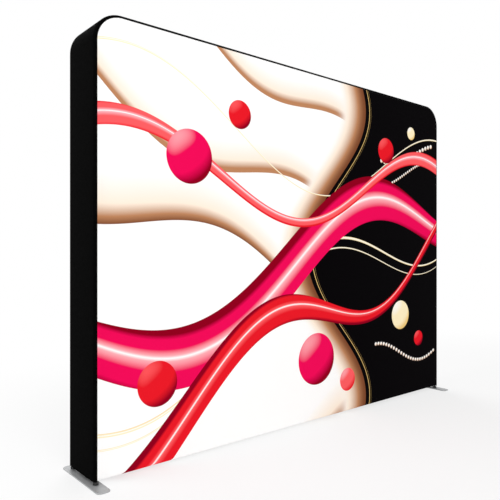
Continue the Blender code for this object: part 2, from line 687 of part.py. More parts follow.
def build_harness(finish):
    """One cable behind the front of the hooks, with a riser and a plug block to each light bar."""
    places = light_bar_places()
    z = CABLE_Z
    ends = (places[0] - CABLE_RADIUS, places[-1] + CABLE_RADIUS)
    trunk = rod("X", (CABLE_Y, z), CABLE_RADIUS, *ends, CABLE_SIDES)
    harness = add_object("light_harness", trunk, finish)
    branch = CABLE_RADIUS * CABLE_BRANCH_SHARE
    block_back = TUBE_BACK_Y - BAR_THICKNESS / 2 - SEAT_GAP
    block_front = CABLE_Y - CABLE_RADIUS
    block_bottom = z + CABLE_RISE
    for x in places:
        unite(
            harness,
            rod("Z", (x, CABLE_Y), branch, z, block_bottom + CUT_OVERRUN, CABLE_SIDES),
            block(
                (x - PLUG_BLOCK / 2, block_front, block_bottom),
                (x + PLUG_BLOCK / 2, block_back, block_bottom + PLUG_BLOCK),
            ),
        )
    feed = rod("Z", (INLET_X, CABLE_Y), branch, z, SUPPLY_BOTTOM_Z - SEAT_GAP, CABLE_SIDES)
    unite(harness, feed)
    shade_round(harness)


# Fabric cover

def band_section():
    """The side strip cut across: it wraps the front tube, spans the depth and wraps the back tube.
    The first number is the distance in from the outside, the second runs front to back."""
    front = (EDGE_RADIUS, FRONT_Y + EDGE_RADIUS)
    back = (EDGE_RADIUS, BACK_Y - EDGE_RADIUS)
    outer = arc(front, EDGE_RADIUS, 270, 180, EDGE_STEPS) + arc(back, EDGE_RADIUS, 180, 90, EDGE_STEPS)
    bore = EDGE_RADIUS - FABRIC
    inner = arc(front, bore, 270, 180, EDGE_STEPS) + arc(back, bore, 180, 90, EDGE_STEPS)
    return outer + inner[::-1]


def sweep_band(name, stations, finish):
    """Carries the strip's section along stations of (outside point, direction inwards) in the wall's plane."""
    section = band_section()
    bm = bmesh.new()
    rows = []
    for (x, z), (inward_x, inward_z) in stations:
        rows.append([bm.verts.new((x + inward_x * inset, y, z + inward_z * inset)) for inset, y in section])
    for first, second in zip(rows, rows[1:]):
        for i in range(len(section)):
            after = (i + 1) % len(section)
            bm.faces.new((first[i], first[after], second[after], second[i]))
    bm.faces.new(rows[0])
    bm.faces.new(rows[-1][::-1])
    shade_round(add_object(name, bm, finish))


def side_band(name, sign, finish):
    """Up one side and round its top corner."""
    centre = (sign * (WALL_WIDTH / 2 - CORNER_RADIUS), WALL_TOP - CORNER_RADIUS)
    stations = [((sign * WALL_WIDTH / 2, FLOOR_GAP), (-sign, 0))]
    for i in range(BEND_STEPS + 1):
        turn = math.radians(90 * i / BEND_STEPS)
        out_x, out_z = sign * math.cos(turn), math.sin(turn)
        outside = (centre[0] + CORNER_RADIUS * out_x, centre[1] + CORNER_RADIUS * out_z)
        stations.append((outside, (-out_x, -out_z)))
    sweep_band(name, stations, finish)


def top_band(finish):
    half = WALL_WIDTH / 2 - CORNER_RADIUS - SEAT_GAP
    sweep_band("top_band", [((x, WALL_TOP), (0, -1)) for x in (-half, half)], finish)


def panel_outline(bottom):
    """A panel with rounded top corners, from its bottom right corner round to its bottom left."""
    centre_x, centre_z = PANEL_HALF_WIDTH - PANEL_RADIUS, PANEL_TOP - PANEL_RADIUS
    right = arc((centre_x, centre_z), PANEL_RADIUS, 0, 90, BEND_STEPS)
    left = arc((-centre_x, centre_z), PANEL_RADIUS, 90, 180, BEND_STEPS)
    return [(PANEL_HALF_WIDTH, bottom)] + right + left + [(-PANEL_HALF_WIDTH, bottom)]


def sheet_rows(bm, rows):
    """Lays a sheet through rows of (y, z, whether it reaches the sides). Returns the first row's corners."""
    columns = (-PANEL_HALF_WIDTH, -NOTCH_X, NOTCH_X, PANEL_HALF_WIDTH)
    made = []
    for y, z, wide in rows:
        used = columns if wide else columns[1:3]
        corners = [bm.verts.new((x, y, z)) for x in used]
        made.append(corners if wide else [None, *corners, None])
    for upper, lower in zip(made, made[1:]):
        for i in range(len(columns) - 1):
            quad = (upper[i], lower[i], lower[i + 1], upper[i + 1])
            if None not in quad:
                bm.faces.new(quad)
    return made[0]


def thicken(name, bm, finish):
    """Gives a sheet its thickness on the inside, as the closed mesh that is kept."""
    mesh = bpy.data.meshes.new(name)
    bm.to_mesh(mesh)
    bm.free()
    sheet = bpy.data.objects.new(name, mesh)
    bpy.context.collection.objects.link(sheet)
    wall = sheet.modifiers.new("wall", "SOLIDIFY")
    wall.thickness = FABRIC
    wall.offset = -1
    wall.use_even_offset = True
    graph = bpy.context.evaluated_depsgraph_get()
    sheet.data = bpy.data.meshes.new_from_object(sheet.evaluated_get(graph))
    sheet.modifiers.remove(wall)
    bpy.data.meshes.remove(mesh)
    sheet.data.materials.append(finish)
    shade_round(sheet)
    return sheet


def wrap_rows(centre_y, start_deg, end_deg):
    """Rows round a bottom tube. Those on the underside stop short of the hand bolts."""
    points = arc((centre_y, TUBE_BOTTOM_Z), EDGE_RADIUS, start_deg, end_deg, EDGE_STEPS)
    half_way = TUBE_BOTTOM_Z - EDGE_RADIUS * math.sin(math.radians(50))
    return [(y, z, z > half_way) for y, z in points]


def front_graphic(finish):
    """The printed front: flat, then round the bottom front tube and turned under."""
    bm = bmesh.new()
    rows = wrap_rows(TUBE_FRONT_Y, 180, 270)
    rows.append((TUBE_FRONT_Y + FRONT_TURN_UNDER, FLOOR_GAP, False))
    first = sheet_rows(bm, rows)
    outline = panel_outline(TUBE_BOTTOM_Z)[1:-1]
    bm.faces.new(first + [bm.verts.new((x, FRONT_Y, z)) for x, z in outline])
    thicken("front_graphic", bm, finish)


def bottom_band(finish):
    """The black underside, round the bottom back tube and up to the zip."""
    bm = bmesh.new()
    rows = [(TUBE_FRONT_Y + FRONT_TURN_UNDER + SEAT_GAP, FLOOR_GAP, False)]
    rows += wrap_rows(TUBE_BACK_Y, 270, 360)
    rows.append((BACK_Y, ZIP_Z - ZIP_SLOT / 2, True))
    sheet_rows(bm, rows)
    thicken("bottom_band", bm, finish)


def back_panels(finish):
    """The black back above the zip: one wide panel, and under it a strip on each side of the inlet port."""
    panel = prism(panel_outline(PORT_TOP), "Y", BACK_Y - FABRIC, BACK_Y)
    add_object("back_panel", panel, finish)
    bottom, top = ZIP_Z + ZIP_SLOT / 2, PORT_TOP - SEAT_GAP
    port_low, port_high = INLET_X - PORT_WIDTH / 2, INLET_X + PORT_WIDTH / 2
    for side, low, high in (("left", -PANEL_HALF_WIDTH, port_low), ("right", port_high, PANEL_HALF_WIDTH)):
        add_object(f"back_strip_{side}", block((low, BACK_Y - FABRIC, bottom), (high, BACK_Y, top)), finish)


def build_cover(print_finish, black_finish):
    front_graphic(print_finish)
    for side, sign in SIDES.items():
        side_band(f"side_band_{side}", sign, black_finish)
    top_band(black_finish)
    bottom_band(black_finish)
    back_panels(black_finish)


# Zip

def build_zip_chain(finish):
    """Both tapes and the closed teeth, which show in the slot between the back and the bottom strip."""
    tape, chain = ZIP_TAPE_WIDTH / 2, ZIP_CHAIN_WIDTH / 2
    inside = TAPE_FACE_Y - ZIP_TAPE_THICKNESS
    outline = [
        (inside, ZIP_Z - tape), (TAPE_FACE_Y, ZIP_Z - tape), (TAPE_FACE_Y, ZIP_Z - chain),
        (CHAIN_FACE_Y, ZIP_Z - chain), (CHAIN_FACE_Y, ZIP_Z + chain), (TAPE_FACE_Y, ZIP_Z + chain),
        (TAPE_FACE_Y, ZIP_Z + tape), (inside, ZIP_Z + tape),
    ]
    half = PANEL_HALF_WIDTH - ZIP_END_MARGIN
    add_object("zip_chain", prism(outline, "X", -half, half), finish)


def build_zip_slider(finish):
    """A channel over the teeth with two ears and the pin that the pull hangs on."""
    inner = ZIP_CHAIN_WIDTH / 2 + SEAT_GAP
    outer = inner + SLIDER_FLANGE
    under = CHAIN_FACE_Y + SEAT_GAP
    foot = TAPE_FACE_Y + SEAT_GAP
    outline = [
        (foot, ZIP_Z - outer), (SLIDER_FACE_Y, ZIP_Z - outer), (SLIDER_FACE_Y, ZIP_Z + outer),
        (foot, ZIP_Z + outer), (foot, ZIP_Z + inner), (under, ZIP_Z + inner),
        (under, ZIP_Z - inner), (foot, ZIP_Z - inner),
    ]
    half = SLIDER_LENGTH / 2
    slider = add_object("zip_slider", prism(outline, "X", SLIDER_X - half, SLIDER_X + half), finish)
    ear_low = PULL_BARREL_WIDTH / 2 + SEAT_GAP
    for sign in SIDES.values():
        ends = sorted(SLIDER_X + sign * d for d in (ear_low, ear_low + SLIDER_EAR))
        low = (ends[0], under, ZIP_Z - SLIDER_EAR_HEIGHT / 2)
        high = (ends[1], PULL_PIN_Y + SLIDER_EAR_HEIGHT / 2, ZIP_Z + SLIDER_EAR_HEIGHT / 2)
        unite(slider, block(low, high))
    reach = ear_low + SLIDER_EAR / 2
    pin = rod("X", (PULL_PIN_Y, ZIP_Z), PULL_PIN_RADIUS, SLIDER_X - reach, SLIDER_X + reach, SMALL_SIDES)
    unite(slider, pin)
    set_origin(slider, (SLIDER_X, PULL_PIN_Y, ZIP_Z))


def build_zip_pull(finish):
    """The pull tab, hanging from the slider's pin."""
    half = PULL_BARREL_WIDTH / 2
    centre = (PULL_PIN_Y, ZIP_Z)
    barrel = rod("X", centre, PULL_BARREL_RADIUS, SLIDER_X - half, SLIDER_X + half, SMALL_SIDES)
    pull = add_object("zip_pull", barrel, finish)
    low_y, high_y = PULL_PIN_Y - PULL_THICKNESS / 2, PULL_PIN_Y + PULL_THICKNESS / 2
    neck = block((SLIDER_X - half, low_y, ZIP_Z - PULL_NECK), (SLIDER_X + half, high_y, ZIP_Z))
    blade = block(
        (SLIDER_X - PULL_WIDTH / 2, low_y, ZIP_Z - PULL_LENGTH),
        (SLIDER_X + PULL_WIDTH / 2, high_y, ZIP_Z - PULL_NECK + SEAT_GAP),
    )
    unite(pull, neck, blade)
    hole_radius = PULL_PIN_RADIUS + SEAT_GAP
    reach = half + CUT_OVERRUN
    cut(pull, rod("X", centre, hole_radius, SLIDER_X - reach, SLIDER_X + reach, SMALL_SIDES))
    set_origin(pull, (SLIDER_X, PULL_PIN_Y, ZIP_Z))


# Feet

def foot_plate(name, sign, finish):
    """A flat steel plate across the wall's depth, with a stepped hole for each hand bolt."""
    outside = WALL_WIDTH / 2 + FOOT_SIDE_OVERHANG
    ends = sorted((sign * outside, sign * (outside - FOOT_WIDTH)))
    low, high = (ends[0], FOOT_FRONT_Y), (ends[1], FOOT_BACK_Y)
    outline = rounded_rectangle(low, high, FOOT_CORNER_RADIUS, FOOT_CORNER_STEPS)
    bm = prism(outline, "Z", 0, FOOT_THICKNESS)
    rim = [e for e in bm.edges if all(v.co.z > FOOT_THICKNESS / 2 for v in e.verts)]
    bmesh.ops.bevel(bm, geom=rim, offset=FOOT_EDGE_BEVEL, segments=1, affect="EDGES")
    plate = add_object(name, bm, finish)
    for y in LOOPS.values():
        bolt = (sign * TUBE_X, y)
        radius = BOLT_RADIUS + BOLT_CLEARANCE
        cut(plate, rod("Z", bolt, radius, -CUT_OVERRUN, FOOT_THICKNESS + CUT_OVERRUN, BOLT_SIDES))
        recess = RIVET_RADIUS + BOLT_CLEARANCE
        cut(plate, rod("Z", bolt, recess, -CUT_OVERRUN, RIVET_RECESS, TUBE_SIDES))


def knob_outline(centre):
    """The lobed grip, a circle whose radius rises and falls once for each lobe."""
    count = KNOB_LOBES * KNOB_LOBE_STEPS
    points = []
    for i in range(count):
        turn = 2 * math.pi * i / count
        radius = KNOB_RADIUS + KNOB_LOBE * math.cos(KNOB_LOBES * turn)
        points.append((centre[0] + radius * math.cos(turn), centre[1] + radius * math.sin(turn)))
    return points


def build_hand_bolts(finish):
    """A captive bolt with a lobed knob, riveted over in the plate's recess."""
    grip_top = KNOB_BOTTOM_Z + (KNOB_TOP_Z - KNOB_BOTTOM_Z) * KNOB_HEIGHT_SHARE
    first = add_object("hand_bolt_1", prism(knob_outline((0, 0)), "Z", KNOB_BOTTOM_Z, grip_top), finish)
    rivet_top = RIVET_RECESS - SEAT_GAP
    rivet_bottom = rivet_top - RIVET_THICKNESS
    unite(
        first,
        rod("Z", (0, 0), KNOB_NECK_RADIUS, KNOB_BOTTOM_Z + SEAT_GAP, KNOB_TOP_Z, TUBE_SIDES),
        rod("Z", (0, 0), BOLT_RADIUS, rivet_bottom + SEAT_GAP, BOSS_BOTTOM_Z + BOLT_ENGAGED, BOLT_SIDES),
        rod("Z", (0, 0), RIVET_RADIUS, rivet_bottom, rivet_top, TUBE_SIDES),
    )
    shade_round(first)
    first.name = "hand_bolt_front_left"
    first.location = (-TUBE_X, TUBE_FRONT_Y, 0)
    place_copy(first, "hand_bolt_back_left", (-TUBE_X, TUBE_BACK_Y, 0))
    place_copy(first, "hand_bolt_front_right", (TUBE_X, TUBE_FRONT_Y, 0))
    place_copy(first, "hand_bolt_back_right", (TUBE_X, TUBE_BACK_Y, 0))


def clear_scene():
    for obj in list(bpy.data.objects):
        bpy.data.objects.remove(obj)


def main():
    clear_scene()
    tube_metal = material("satin_aluminium", (0.62, 0.63, 0.64), 0.32, 1.0)
    fitting_metal = material("cast_grey", (0.32, 0.33, 0.34), 0.5, 0.6)
    bar_metal = material("white_bar", (0.85, 0.86, 0.86), 0.4)
    spring_steel = material("spring_steel", (0.5, 0.5, 0.5), 0.25, 1.0)
    black_fabric = material("black_fabric", (0.012, 0.012, 0.013), 0.85)
    print_fabric = material("printed_fabric", (0.93, 0.9, 0.88), 0.8)
    zip_black = material("zip_black", (0.02, 0.02, 0.02), 0.5)
    black_plastic = material("black_plastic", (0.03, 0.03, 0.032), 0.42)
    foot_steel = material("silver_powder_coat", (0.55, 0.56, 0.57), 0.45, 0.2)
    supply_metal = material("supply_case", (0.45, 0.46, 0.47), 0.4, 0.8)
    cable_white = material("cable_white", (0.8, 0.8, 0.78), 0.5)
    build_tubes(tube_metal)
    build_buttons(spring_steel)
    build_fittings(fitting_metal)
    build_spreaders(bar_metal, tube_metal)
    build_light_bars(bar_metal)
    build_supply(supply_metal)
    build_inlet(black_plastic)
    build_rocker(black_plastic)
    build_harness(cable_white)
    build_cover(print_fabric, black_fabric)
    build_zip_chain(zip_black)
    build_zip_slider(zip_black)
    build_zip_pull(zip_black)
    for side, sign in SIDES.items():
        foot_plate(f"foot_plate_{side}", sign, foot_steel)
    build_hand_bolts(black_plastic)


main()
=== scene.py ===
# %% [markdown]
# # A lightbox display wall
# A portable exhibition wall is a loop of aluminium tube at the front, another at the back, and a
# zipped cover of stretch fabric pulled over both. Light bars inside make the printed front glow.
# This notebook loads the engineering frame, dresses it in sewn fabric and moulded parts, lights it
# and sets the camera. Every size is in metres, and the wall's own places come from the frame.

# %% Load the frame
import json
import math

import bpy
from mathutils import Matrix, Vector

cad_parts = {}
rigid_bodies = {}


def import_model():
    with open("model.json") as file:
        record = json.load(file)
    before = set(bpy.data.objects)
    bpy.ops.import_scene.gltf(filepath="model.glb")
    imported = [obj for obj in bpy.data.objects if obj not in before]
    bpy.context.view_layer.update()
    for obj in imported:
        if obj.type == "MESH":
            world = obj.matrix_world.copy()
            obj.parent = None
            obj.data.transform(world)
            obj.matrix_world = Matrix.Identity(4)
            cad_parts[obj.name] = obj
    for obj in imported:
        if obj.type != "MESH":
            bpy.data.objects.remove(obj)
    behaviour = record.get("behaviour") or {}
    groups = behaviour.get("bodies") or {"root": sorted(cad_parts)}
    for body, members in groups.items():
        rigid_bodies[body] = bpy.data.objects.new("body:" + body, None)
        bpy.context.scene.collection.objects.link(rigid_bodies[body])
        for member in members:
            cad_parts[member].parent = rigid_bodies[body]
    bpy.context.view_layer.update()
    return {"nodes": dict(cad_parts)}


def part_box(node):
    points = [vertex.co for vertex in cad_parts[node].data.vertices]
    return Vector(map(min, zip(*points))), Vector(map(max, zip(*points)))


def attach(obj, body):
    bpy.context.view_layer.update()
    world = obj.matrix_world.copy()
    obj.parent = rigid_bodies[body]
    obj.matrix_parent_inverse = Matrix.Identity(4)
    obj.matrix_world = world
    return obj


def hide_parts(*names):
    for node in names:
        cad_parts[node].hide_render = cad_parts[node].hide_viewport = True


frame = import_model()

# %% [markdown]
# ## Measure before modelling
# The cover follows its frame, so its places are read from the CAD nodes and never typed again.
# The black strip reaches the wall's outside on every side, and the front graphic's flat edge is one
# tube and one fabric further in, which gives the radius of the rounded rim.

# %% Read the wall's places from the frame
FABRIC = 0.0009

left_band, bottom_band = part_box("side_band_left"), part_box("bottom_band")
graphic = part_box("front_graphic")
OUTSIDE_X = -left_band[0][0]
FRONT_Y, BACK_Y = left_band[0][1], left_band[1][1]
WALL_BOTTOM, WALL_TOP = left_band[0][2], left_band[1][2]
CORNER_RADIUS = left_band[1][0] - left_band[0][0]
RIM = OUTSIDE_X + graphic[0][0]
GRAPHIC_TURN = graphic[1][1]
FLAT_X, FLAT_BOTTOM, FLAT_TOP = OUTSIDE_X - RIM, WALL_BOTTOM + RIM, WALL_TOP - RIM
TURN_FRONT, TURN_BACK = FRONT_Y + RIM, BACK_Y - RIM
wall_size = (2 * OUTSIDE_X, BACK_Y - FRONT_Y, WALL_TOP - WALL_BOTTOM)
print("wall", [round(size, 3) for size in wall_size], "with a rim of", round(RIM, 4))

# %% [markdown]
# ## The camera comes first
# A level camera was fitted to the photograph's straight edges, so its distance, height, turn and
# lens are known before anything is dressed.

# %% Place the camera
CAMERA_FROM_LEFT = 1.1631
CAMERA_FROM_FRONT = 2.5265
CAMERA_ABOVE_BOTTOM = 1.111
CAMERA_TURN_DEG = 40.259
CAMERA_LENS_MM = 40.40
SENSOR_WIDTH_MM = 36
HORIZON_SHIFT = 0.00084

bpy.ops.object.camera_add(
    location=(-OUTSIDE_X - CAMERA_FROM_LEFT, FRONT_Y - CAMERA_FROM_FRONT, WALL_BOTTOM + CAMERA_ABOVE_BOTTOM),
    rotation=(math.radians(90), 0, math.radians(-CAMERA_TURN_DEG)),
)
camera = bpy.context.object
camera.name = "camera"
camera.data.lens = CAMERA_LENS_MM
camera.data.sensor_width = SENSOR_WIDTH_MM
camera.data.shift_y = HORIZON_SHIFT
bpy.context.scene.camera = camera
print("the camera stands at", [round(value, 3) for value in camera.location])

# %% [markdown]
# ## Helpers for materials
# A shader is a small graph. These helpers add a node, set its values and join its sockets, so that a
# material below reads as a list of what it is made of. An effect that several finishes share is a
# node group, which puts out a mask, a height or a colour and leaves the shader to the material.

# %% Make helpers for nodes
def add_node(tree, kind, values=None, **settings):
    """Adds a node. values maps a socket's name or number to a value, or to a socket to join."""
    node = tree.nodes.new(kind)
    for name, value in settings.items():
        setattr(node, name, value)
    for key, value in (values or {}).items():
        if isinstance(value, bpy.types.NodeSocket):
            tree.links.new(value, node.inputs[key])
        else:
            node.inputs[key].default_value = value
    return node


def maths(tree, operation, first, second=0.0, third=0.0, clamp=False):
    """One step of arithmetic between sockets or numbers."""
    values = {0: first, 1: second, 2: third}
    return add_node(tree, "ShaderNodeMath", values, operation=operation, use_clamp=clamp).outputs[0]


def vector_maths(tree, operation, first, second=(0, 0, 0)):
    """One step between two vectors. Returns the vector and the number that come out."""
    values = {0: first, 1: second}
    return tuple(add_node(tree, "ShaderNodeVectorMath", values, operation=operation).outputs)


def split(tree, vector):
    """The three numbers of a vector."""
    return add_node(tree, "ShaderNodeSeparateXYZ", {0: vector}).outputs


def noise(tree, place, scale, detail):
    """Clouds from 0 to 1. A higher scale is finer, and detail adds smaller clouds to the large ones."""
    values = {"Vector": place, "Scale": scale, "Detail": detail}
    return add_node(tree, "ShaderNodeTexNoise", values).outputs["Fac"]


def fade(tree, value, low, high):
    """0 at low, 1 at high, and smooth between them. With low above high it fades out."""
    values = {"Value": value, "From Min": low, "From Max": high}
    return add_node(tree, "ShaderNodeMapRange", values, interpolation_type="SMOOTHSTEP").outputs[0]


print("node helpers are ready")


# %% Make helpers for colours, groups and materials
def paint(tree, amount, under, over):
    """Lays one colour over another where amount is 1."""
    node = add_node(tree, "ShaderNodeMix", {0: amount}, data_type="RGBA")
    for socket, colour in ((node.inputs[6], under), (node.inputs[7], over)):
        if isinstance(colour, bpy.types.NodeSocket):
            tree.links.new(colour, socket)
        else:
            socket.default_value = (*colour, 1)
    return node.outputs[2]


def ramp(tree, value, stops):
    """Turns a number into a colour by stops of (place, colour), which are given in order."""
    node = add_node(tree, "ShaderNodeValToRGB", {"Fac": value})
    elements = node.color_ramp.elements
    for place, _ in stops[2:]:
        elements.new(place)
    for element, (place, colour) in zip(elements, stops):
        element.position = place
        element.color = (*colour, 1)
    return node.outputs["Color"]


def new_group(name, inputs, outputs):
    """An empty node group with named sockets. Returns its tree, what it is given and what it makes."""
    tree = bpy.data.node_groups.new(name, "ShaderNodeTree")
    for in_out, sockets in (("INPUT", inputs), ("OUTPUT", outputs)):
        for socket, kind in sockets.items():
            tree.interface.new_socket(socket, in_out=in_out, socket_type=f"NodeSocket{kind}")
    return tree, tree.nodes.new("NodeGroupInput").outputs, tree.nodes.new("NodeGroupOutput").inputs


def use_group(tree, group, values):
    """Places a node group in a material with its own values. Returns what comes out of it."""
    return add_node(tree, "ShaderNodeGroup", values, node_tree=group).outputs


def new_material(name, **sockets):
    """A material with one Principled shader, whose plain values are set on its own sockets."""
    made = bpy.data.materials.new(name)
    made.use_nodes = True
    shader = made.node_tree.nodes["Principled BSDF"]
    for key, value in sockets.items():
        shader.inputs[key.replace("_", " ").title().replace("Ior", "IOR")].default_value = value
    return made, made.node_tree, shader


def join_bump(tree, shader, height, distance, strength):
    """Feeds a height, from 0 to 1, to the shader's normal. distance is the real depth."""
    bump = add_node(tree, "ShaderNodeBump", {"Height": height, "Distance": distance, "Strength": strength})
    tree.links.new(bump.outputs["Normal"], shader.inputs["Normal"])


print("material helpers are ready")

# %% [markdown]
# ## The knit of tension fabric
# Display fabric is a warp-knit polyester: fine upright ribs of loops, about a millimetre apart, that
# catch a soft sheen. It could be a woven pattern image, but two crossed waves along the cloth's own
# UV map, in metres, give the same ribs at their real size on every panel of the cover.

# %% Build the knit
KNIT_PITCH = 0.0011
KNIT_DEPTH = 0.0002
LOOP_LEAN = 1.2
RIB_SHARE = 0.75
FLECK_SCALE, FLECK_DETAIL = 60, 3


def build_knit_group():
    """Ribs and loops of a warp knit, from a cloth position in metres. Height and Fleck are 0 to 1."""
    tree, given, made = new_group(
        "warp knit", {"Cloth": "Vector", "Pitch": "Float"}, {"Height": "Float", "Fleck": "Float"}
    )
    parts = split(tree, given["Cloth"])
    turns = maths(tree, "DIVIDE", 2 * math.pi, given["Pitch"])
    across = maths(tree, "MULTIPLY", parts[0], turns)
    along = maths(tree, "MULTIPLY", parts[1], turns)
    rib = maths(tree, "ABSOLUTE", maths(tree, "SINE", maths(tree, "MULTIPLY", across, 0.5)))
    lean = maths(tree, "MULTIPLY", maths(tree, "SINE", across), LOOP_LEAN)
    loop = maths(tree, "SINE", maths(tree, "ADD", along, lean))
    ribs = maths(tree, "MULTIPLY", rib, RIB_SHARE)
    height = maths(tree, "MULTIPLY_ADD", loop, 1 - RIB_SHARE, ribs, clamp=True)
    tree.links.new(height, made["Height"])
    tree.links.new(noise(tree, given["Cloth"], FLECK_SCALE, FLECK_DETAIL), made["Fleck"])
    return tree


knit_group = build_knit_group()
print("the knit has a rib every", 1000 * KNIT_PITCH, "mm")

# %% [markdown]
# ## Ribbons and beads for the print
# A printer would start from an image file. A drawing made of a few waves and circles needs none, and
# it stays sharp however near the camera comes. One group draws a ribbon that sways, tilts and swells
# along the wall, and another draws a ball. Each puts out a mask, and a number that shades it.

# %% Build the ribbon group
RIBBON_NUMBERS = ("Level", "Slope", "Swing", "Wave", "Phase", "Width", "Twist", "Edge")


def build_ribbon_group():
    """A satin ribbon drawn across the print. Mask is where it lies, and Across runs -1 to 1 over it."""
    tree, given, made = new_group(
        "satin ribbon", {"Cloth": "Vector", **dict.fromkeys(RIBBON_NUMBERS, "Float")},
        {"Mask": "Float", "Across": "Float", "Turn": "Float"},
    )
    level, slope, swing, wave, phase, width, twist, edge = (given[name] for name in RIBBON_NUMBERS)
    parts = split(tree, given["Cloth"])
    waves = maths(tree, "ADD", maths(tree, "DIVIDE", parts[0], wave), phase)
    turn = maths(tree, "MULTIPLY", waves, 2 * math.pi)
    middle = maths(tree, "MULTIPLY_ADD", parts[0], slope, level)
    middle = maths(tree, "MULTIPLY_ADD", maths(tree, "SINE", turn), swing, middle)
    swell = maths(tree, "COSINE", maths(tree, "MULTIPLY_ADD", turn, 0.5, phase))
    half = maths(tree, "MULTIPLY", width, maths(tree, "MULTIPLY_ADD", swell, twist, 1.0))
    across = maths(tree, "DIVIDE", maths(tree, "SUBTRACT", parts[1], middle), half)
    reach = maths(tree, "MULTIPLY", maths(tree, "SUBTRACT", 1.0, maths(tree, "ABSOLUTE", across)), half)
    tree.links.new(maths(tree, "DIVIDE", reach, edge, clamp=True), made["Mask"])
    tree.links.new(across, made["Across"])
    tree.links.new(swell, made["Turn"])
    return tree


ribbon_group = build_ribbon_group()
print("a ribbon is drawn from", len(RIBBON_NUMBERS), "numbers")

# %% Build the bead group
BEAD_LIGHT = (-0.55, 0.75)
BEAD_RIM_POWER, BEAD_RIM_SHADE = 4, 0.2


def build_bead_group():
    """A round glossy bead drawn on the print. Mask is where it lies, Shade lights it like a ball."""
    tree, given, made = new_group(
        "glossy bead", {"Cloth": "Vector", "Centre": "Vector", "Radius": "Float", "Edge": "Float"},
        {"Mask": "Float", "Shade": "Float"},
    )
    radius = given["Radius"]
    away = vector_maths(tree, "SUBTRACT", given["Cloth"], given["Centre"])[0]
    distance = vector_maths(tree, "LENGTH", away)[1]
    mask = maths(tree, "DIVIDE", maths(tree, "SUBTRACT", radius, distance), given["Edge"], clamp=True)
    parts = split(tree, away)
    sideways = maths(tree, "MULTIPLY", parts[0], BEAD_LIGHT[0])
    to_light = maths(tree, "MULTIPLY_ADD", parts[1], BEAD_LIGHT[1], sideways)
    shade = maths(tree, "MULTIPLY_ADD", maths(tree, "DIVIDE", to_light, radius), 0.5, 0.5)
    rim = maths(tree, "POWER", maths(tree, "DIVIDE", distance, radius, clamp=True), BEAD_RIM_POWER)
    shade = maths(tree, "SUBTRACT", shade, maths(tree, "MULTIPLY", rim, BEAD_RIM_SHADE), clamp=True)
    tree.links.new(mask, made["Mask"])
    tree.links.new(shade, made["Shade"])
    return tree


bead_group = build_bead_group()
print("a bead is lit from", BEAD_LIGHT)

# %% [markdown]
# ## The print on the front
# The front of such a wall is dye-printed from edge to edge. The design here is a generic one of the
# maker's own: silk ribbons, beads and strings of pearls on folds of white silk, which sweep over a
# black field. It is painted from the back to the front, as on paper: the folds, the black field, the
# pearls, the ribbons, then the beads. The same colours feed the base colour, at the strength of unlit
# cloth, and the glow.

# %% Choose the print's inks
WHITE = (1.0, 0.995, 0.985)
CREAM = (0.98, 0.84, 0.70)
TAN = (0.50, 0.23, 0.11)
UMBER = (0.20, 0.065, 0.026)
BLACK = (0.0012, 0.0008, 0.0012)
MAGENTA = (0.86, 0.003, 0.095)
DEEP_RED = (0.27, 0.0, 0.012)
SCARLET = (0.80, 0.010, 0.020)
CORAL = (0.98, 0.11, 0.12)
BLUSH = (1.0, 0.42, 0.46)
GOLD = (0.86, 0.58, 0.2)
PALE_GOLD = (1.0, 0.86, 0.55)
MAGENTA_TONES = (DEEP_RED, MAGENTA, BLUSH)
SCARLET_TONES = (DEEP_RED, SCARLET, CORAL)
CORAL_TONES = (SCARLET, CORAL, BLUSH)
GOLD_TONES = (GOLD, PALE_GOLD, WHITE)
PRINT_EDGE = 0.0025
print("the print has twelve inks, with edges", 1000 * PRINT_EDGE, "mm soft")

# %% [markdown]
# Each row of a table below draws one motif, from places in metres over the cloth: x from the wall's
# middle and the level above its lower edge. A ribbon has a level, a slope, the height and the length
# of its wave, the wave's phase, its half width and how much that swells.

# %% Paint the ground
FOLDS = (
    ((0.10, 0.34, 0.20, 2.6, 0.10, 0.36, 0.25), TAN),
    ((1.05, -0.46, 0.17, 2.2, 0.58, 0.30, 0.35), UMBER),
    ((1.62, -0.40, 0.14, 1.9, 0.30, 0.22, 0.30), TAN),
    ((2.25, -0.34, 0.10, 1.6, 0.05, 0.20, 0.25), TAN),
)


def lay_ribbon(tree, cloth, shape):
    """Draws one ribbon, from a row of the numbers above."""
    numbers = dict(zip(RIBBON_NUMBERS, (*shape, PRINT_EDGE)))
    return use_group(tree, ribbon_group, {"Cloth": cloth, **numbers})


def print_ground(tree, cloth):
    """White silk in folds, each lit at its upper side and turning to tan at its lower edge."""
    colour = WHITE
    for shape, hollow in FOLDS:
        fold = lay_ribbon(tree, cloth, shape)
        shade = maths(tree, "MULTIPLY_ADD", fold["Across"], 0.5, 0.5)
        silk = ramp(tree, shade, [(0.0, hollow), (0.05, TAN), (0.13, CREAM), (0.34, WHITE), (1.0, WHITE)])
        colour = paint(tree, fold["Mask"], colour, silk)
    return colour


print("the ground has", len(FOLDS), "folds")

# %% Paint the black field
FIELD_TURN, FIELD_PHASE = 3.1, 1.35
FIELD_SWING, FIELD_X = 0.30, 0.26
SHADOW_REACH = 0.42
FIELD_LINES = ((0.045, 0.004), (0.062, 0.0015))


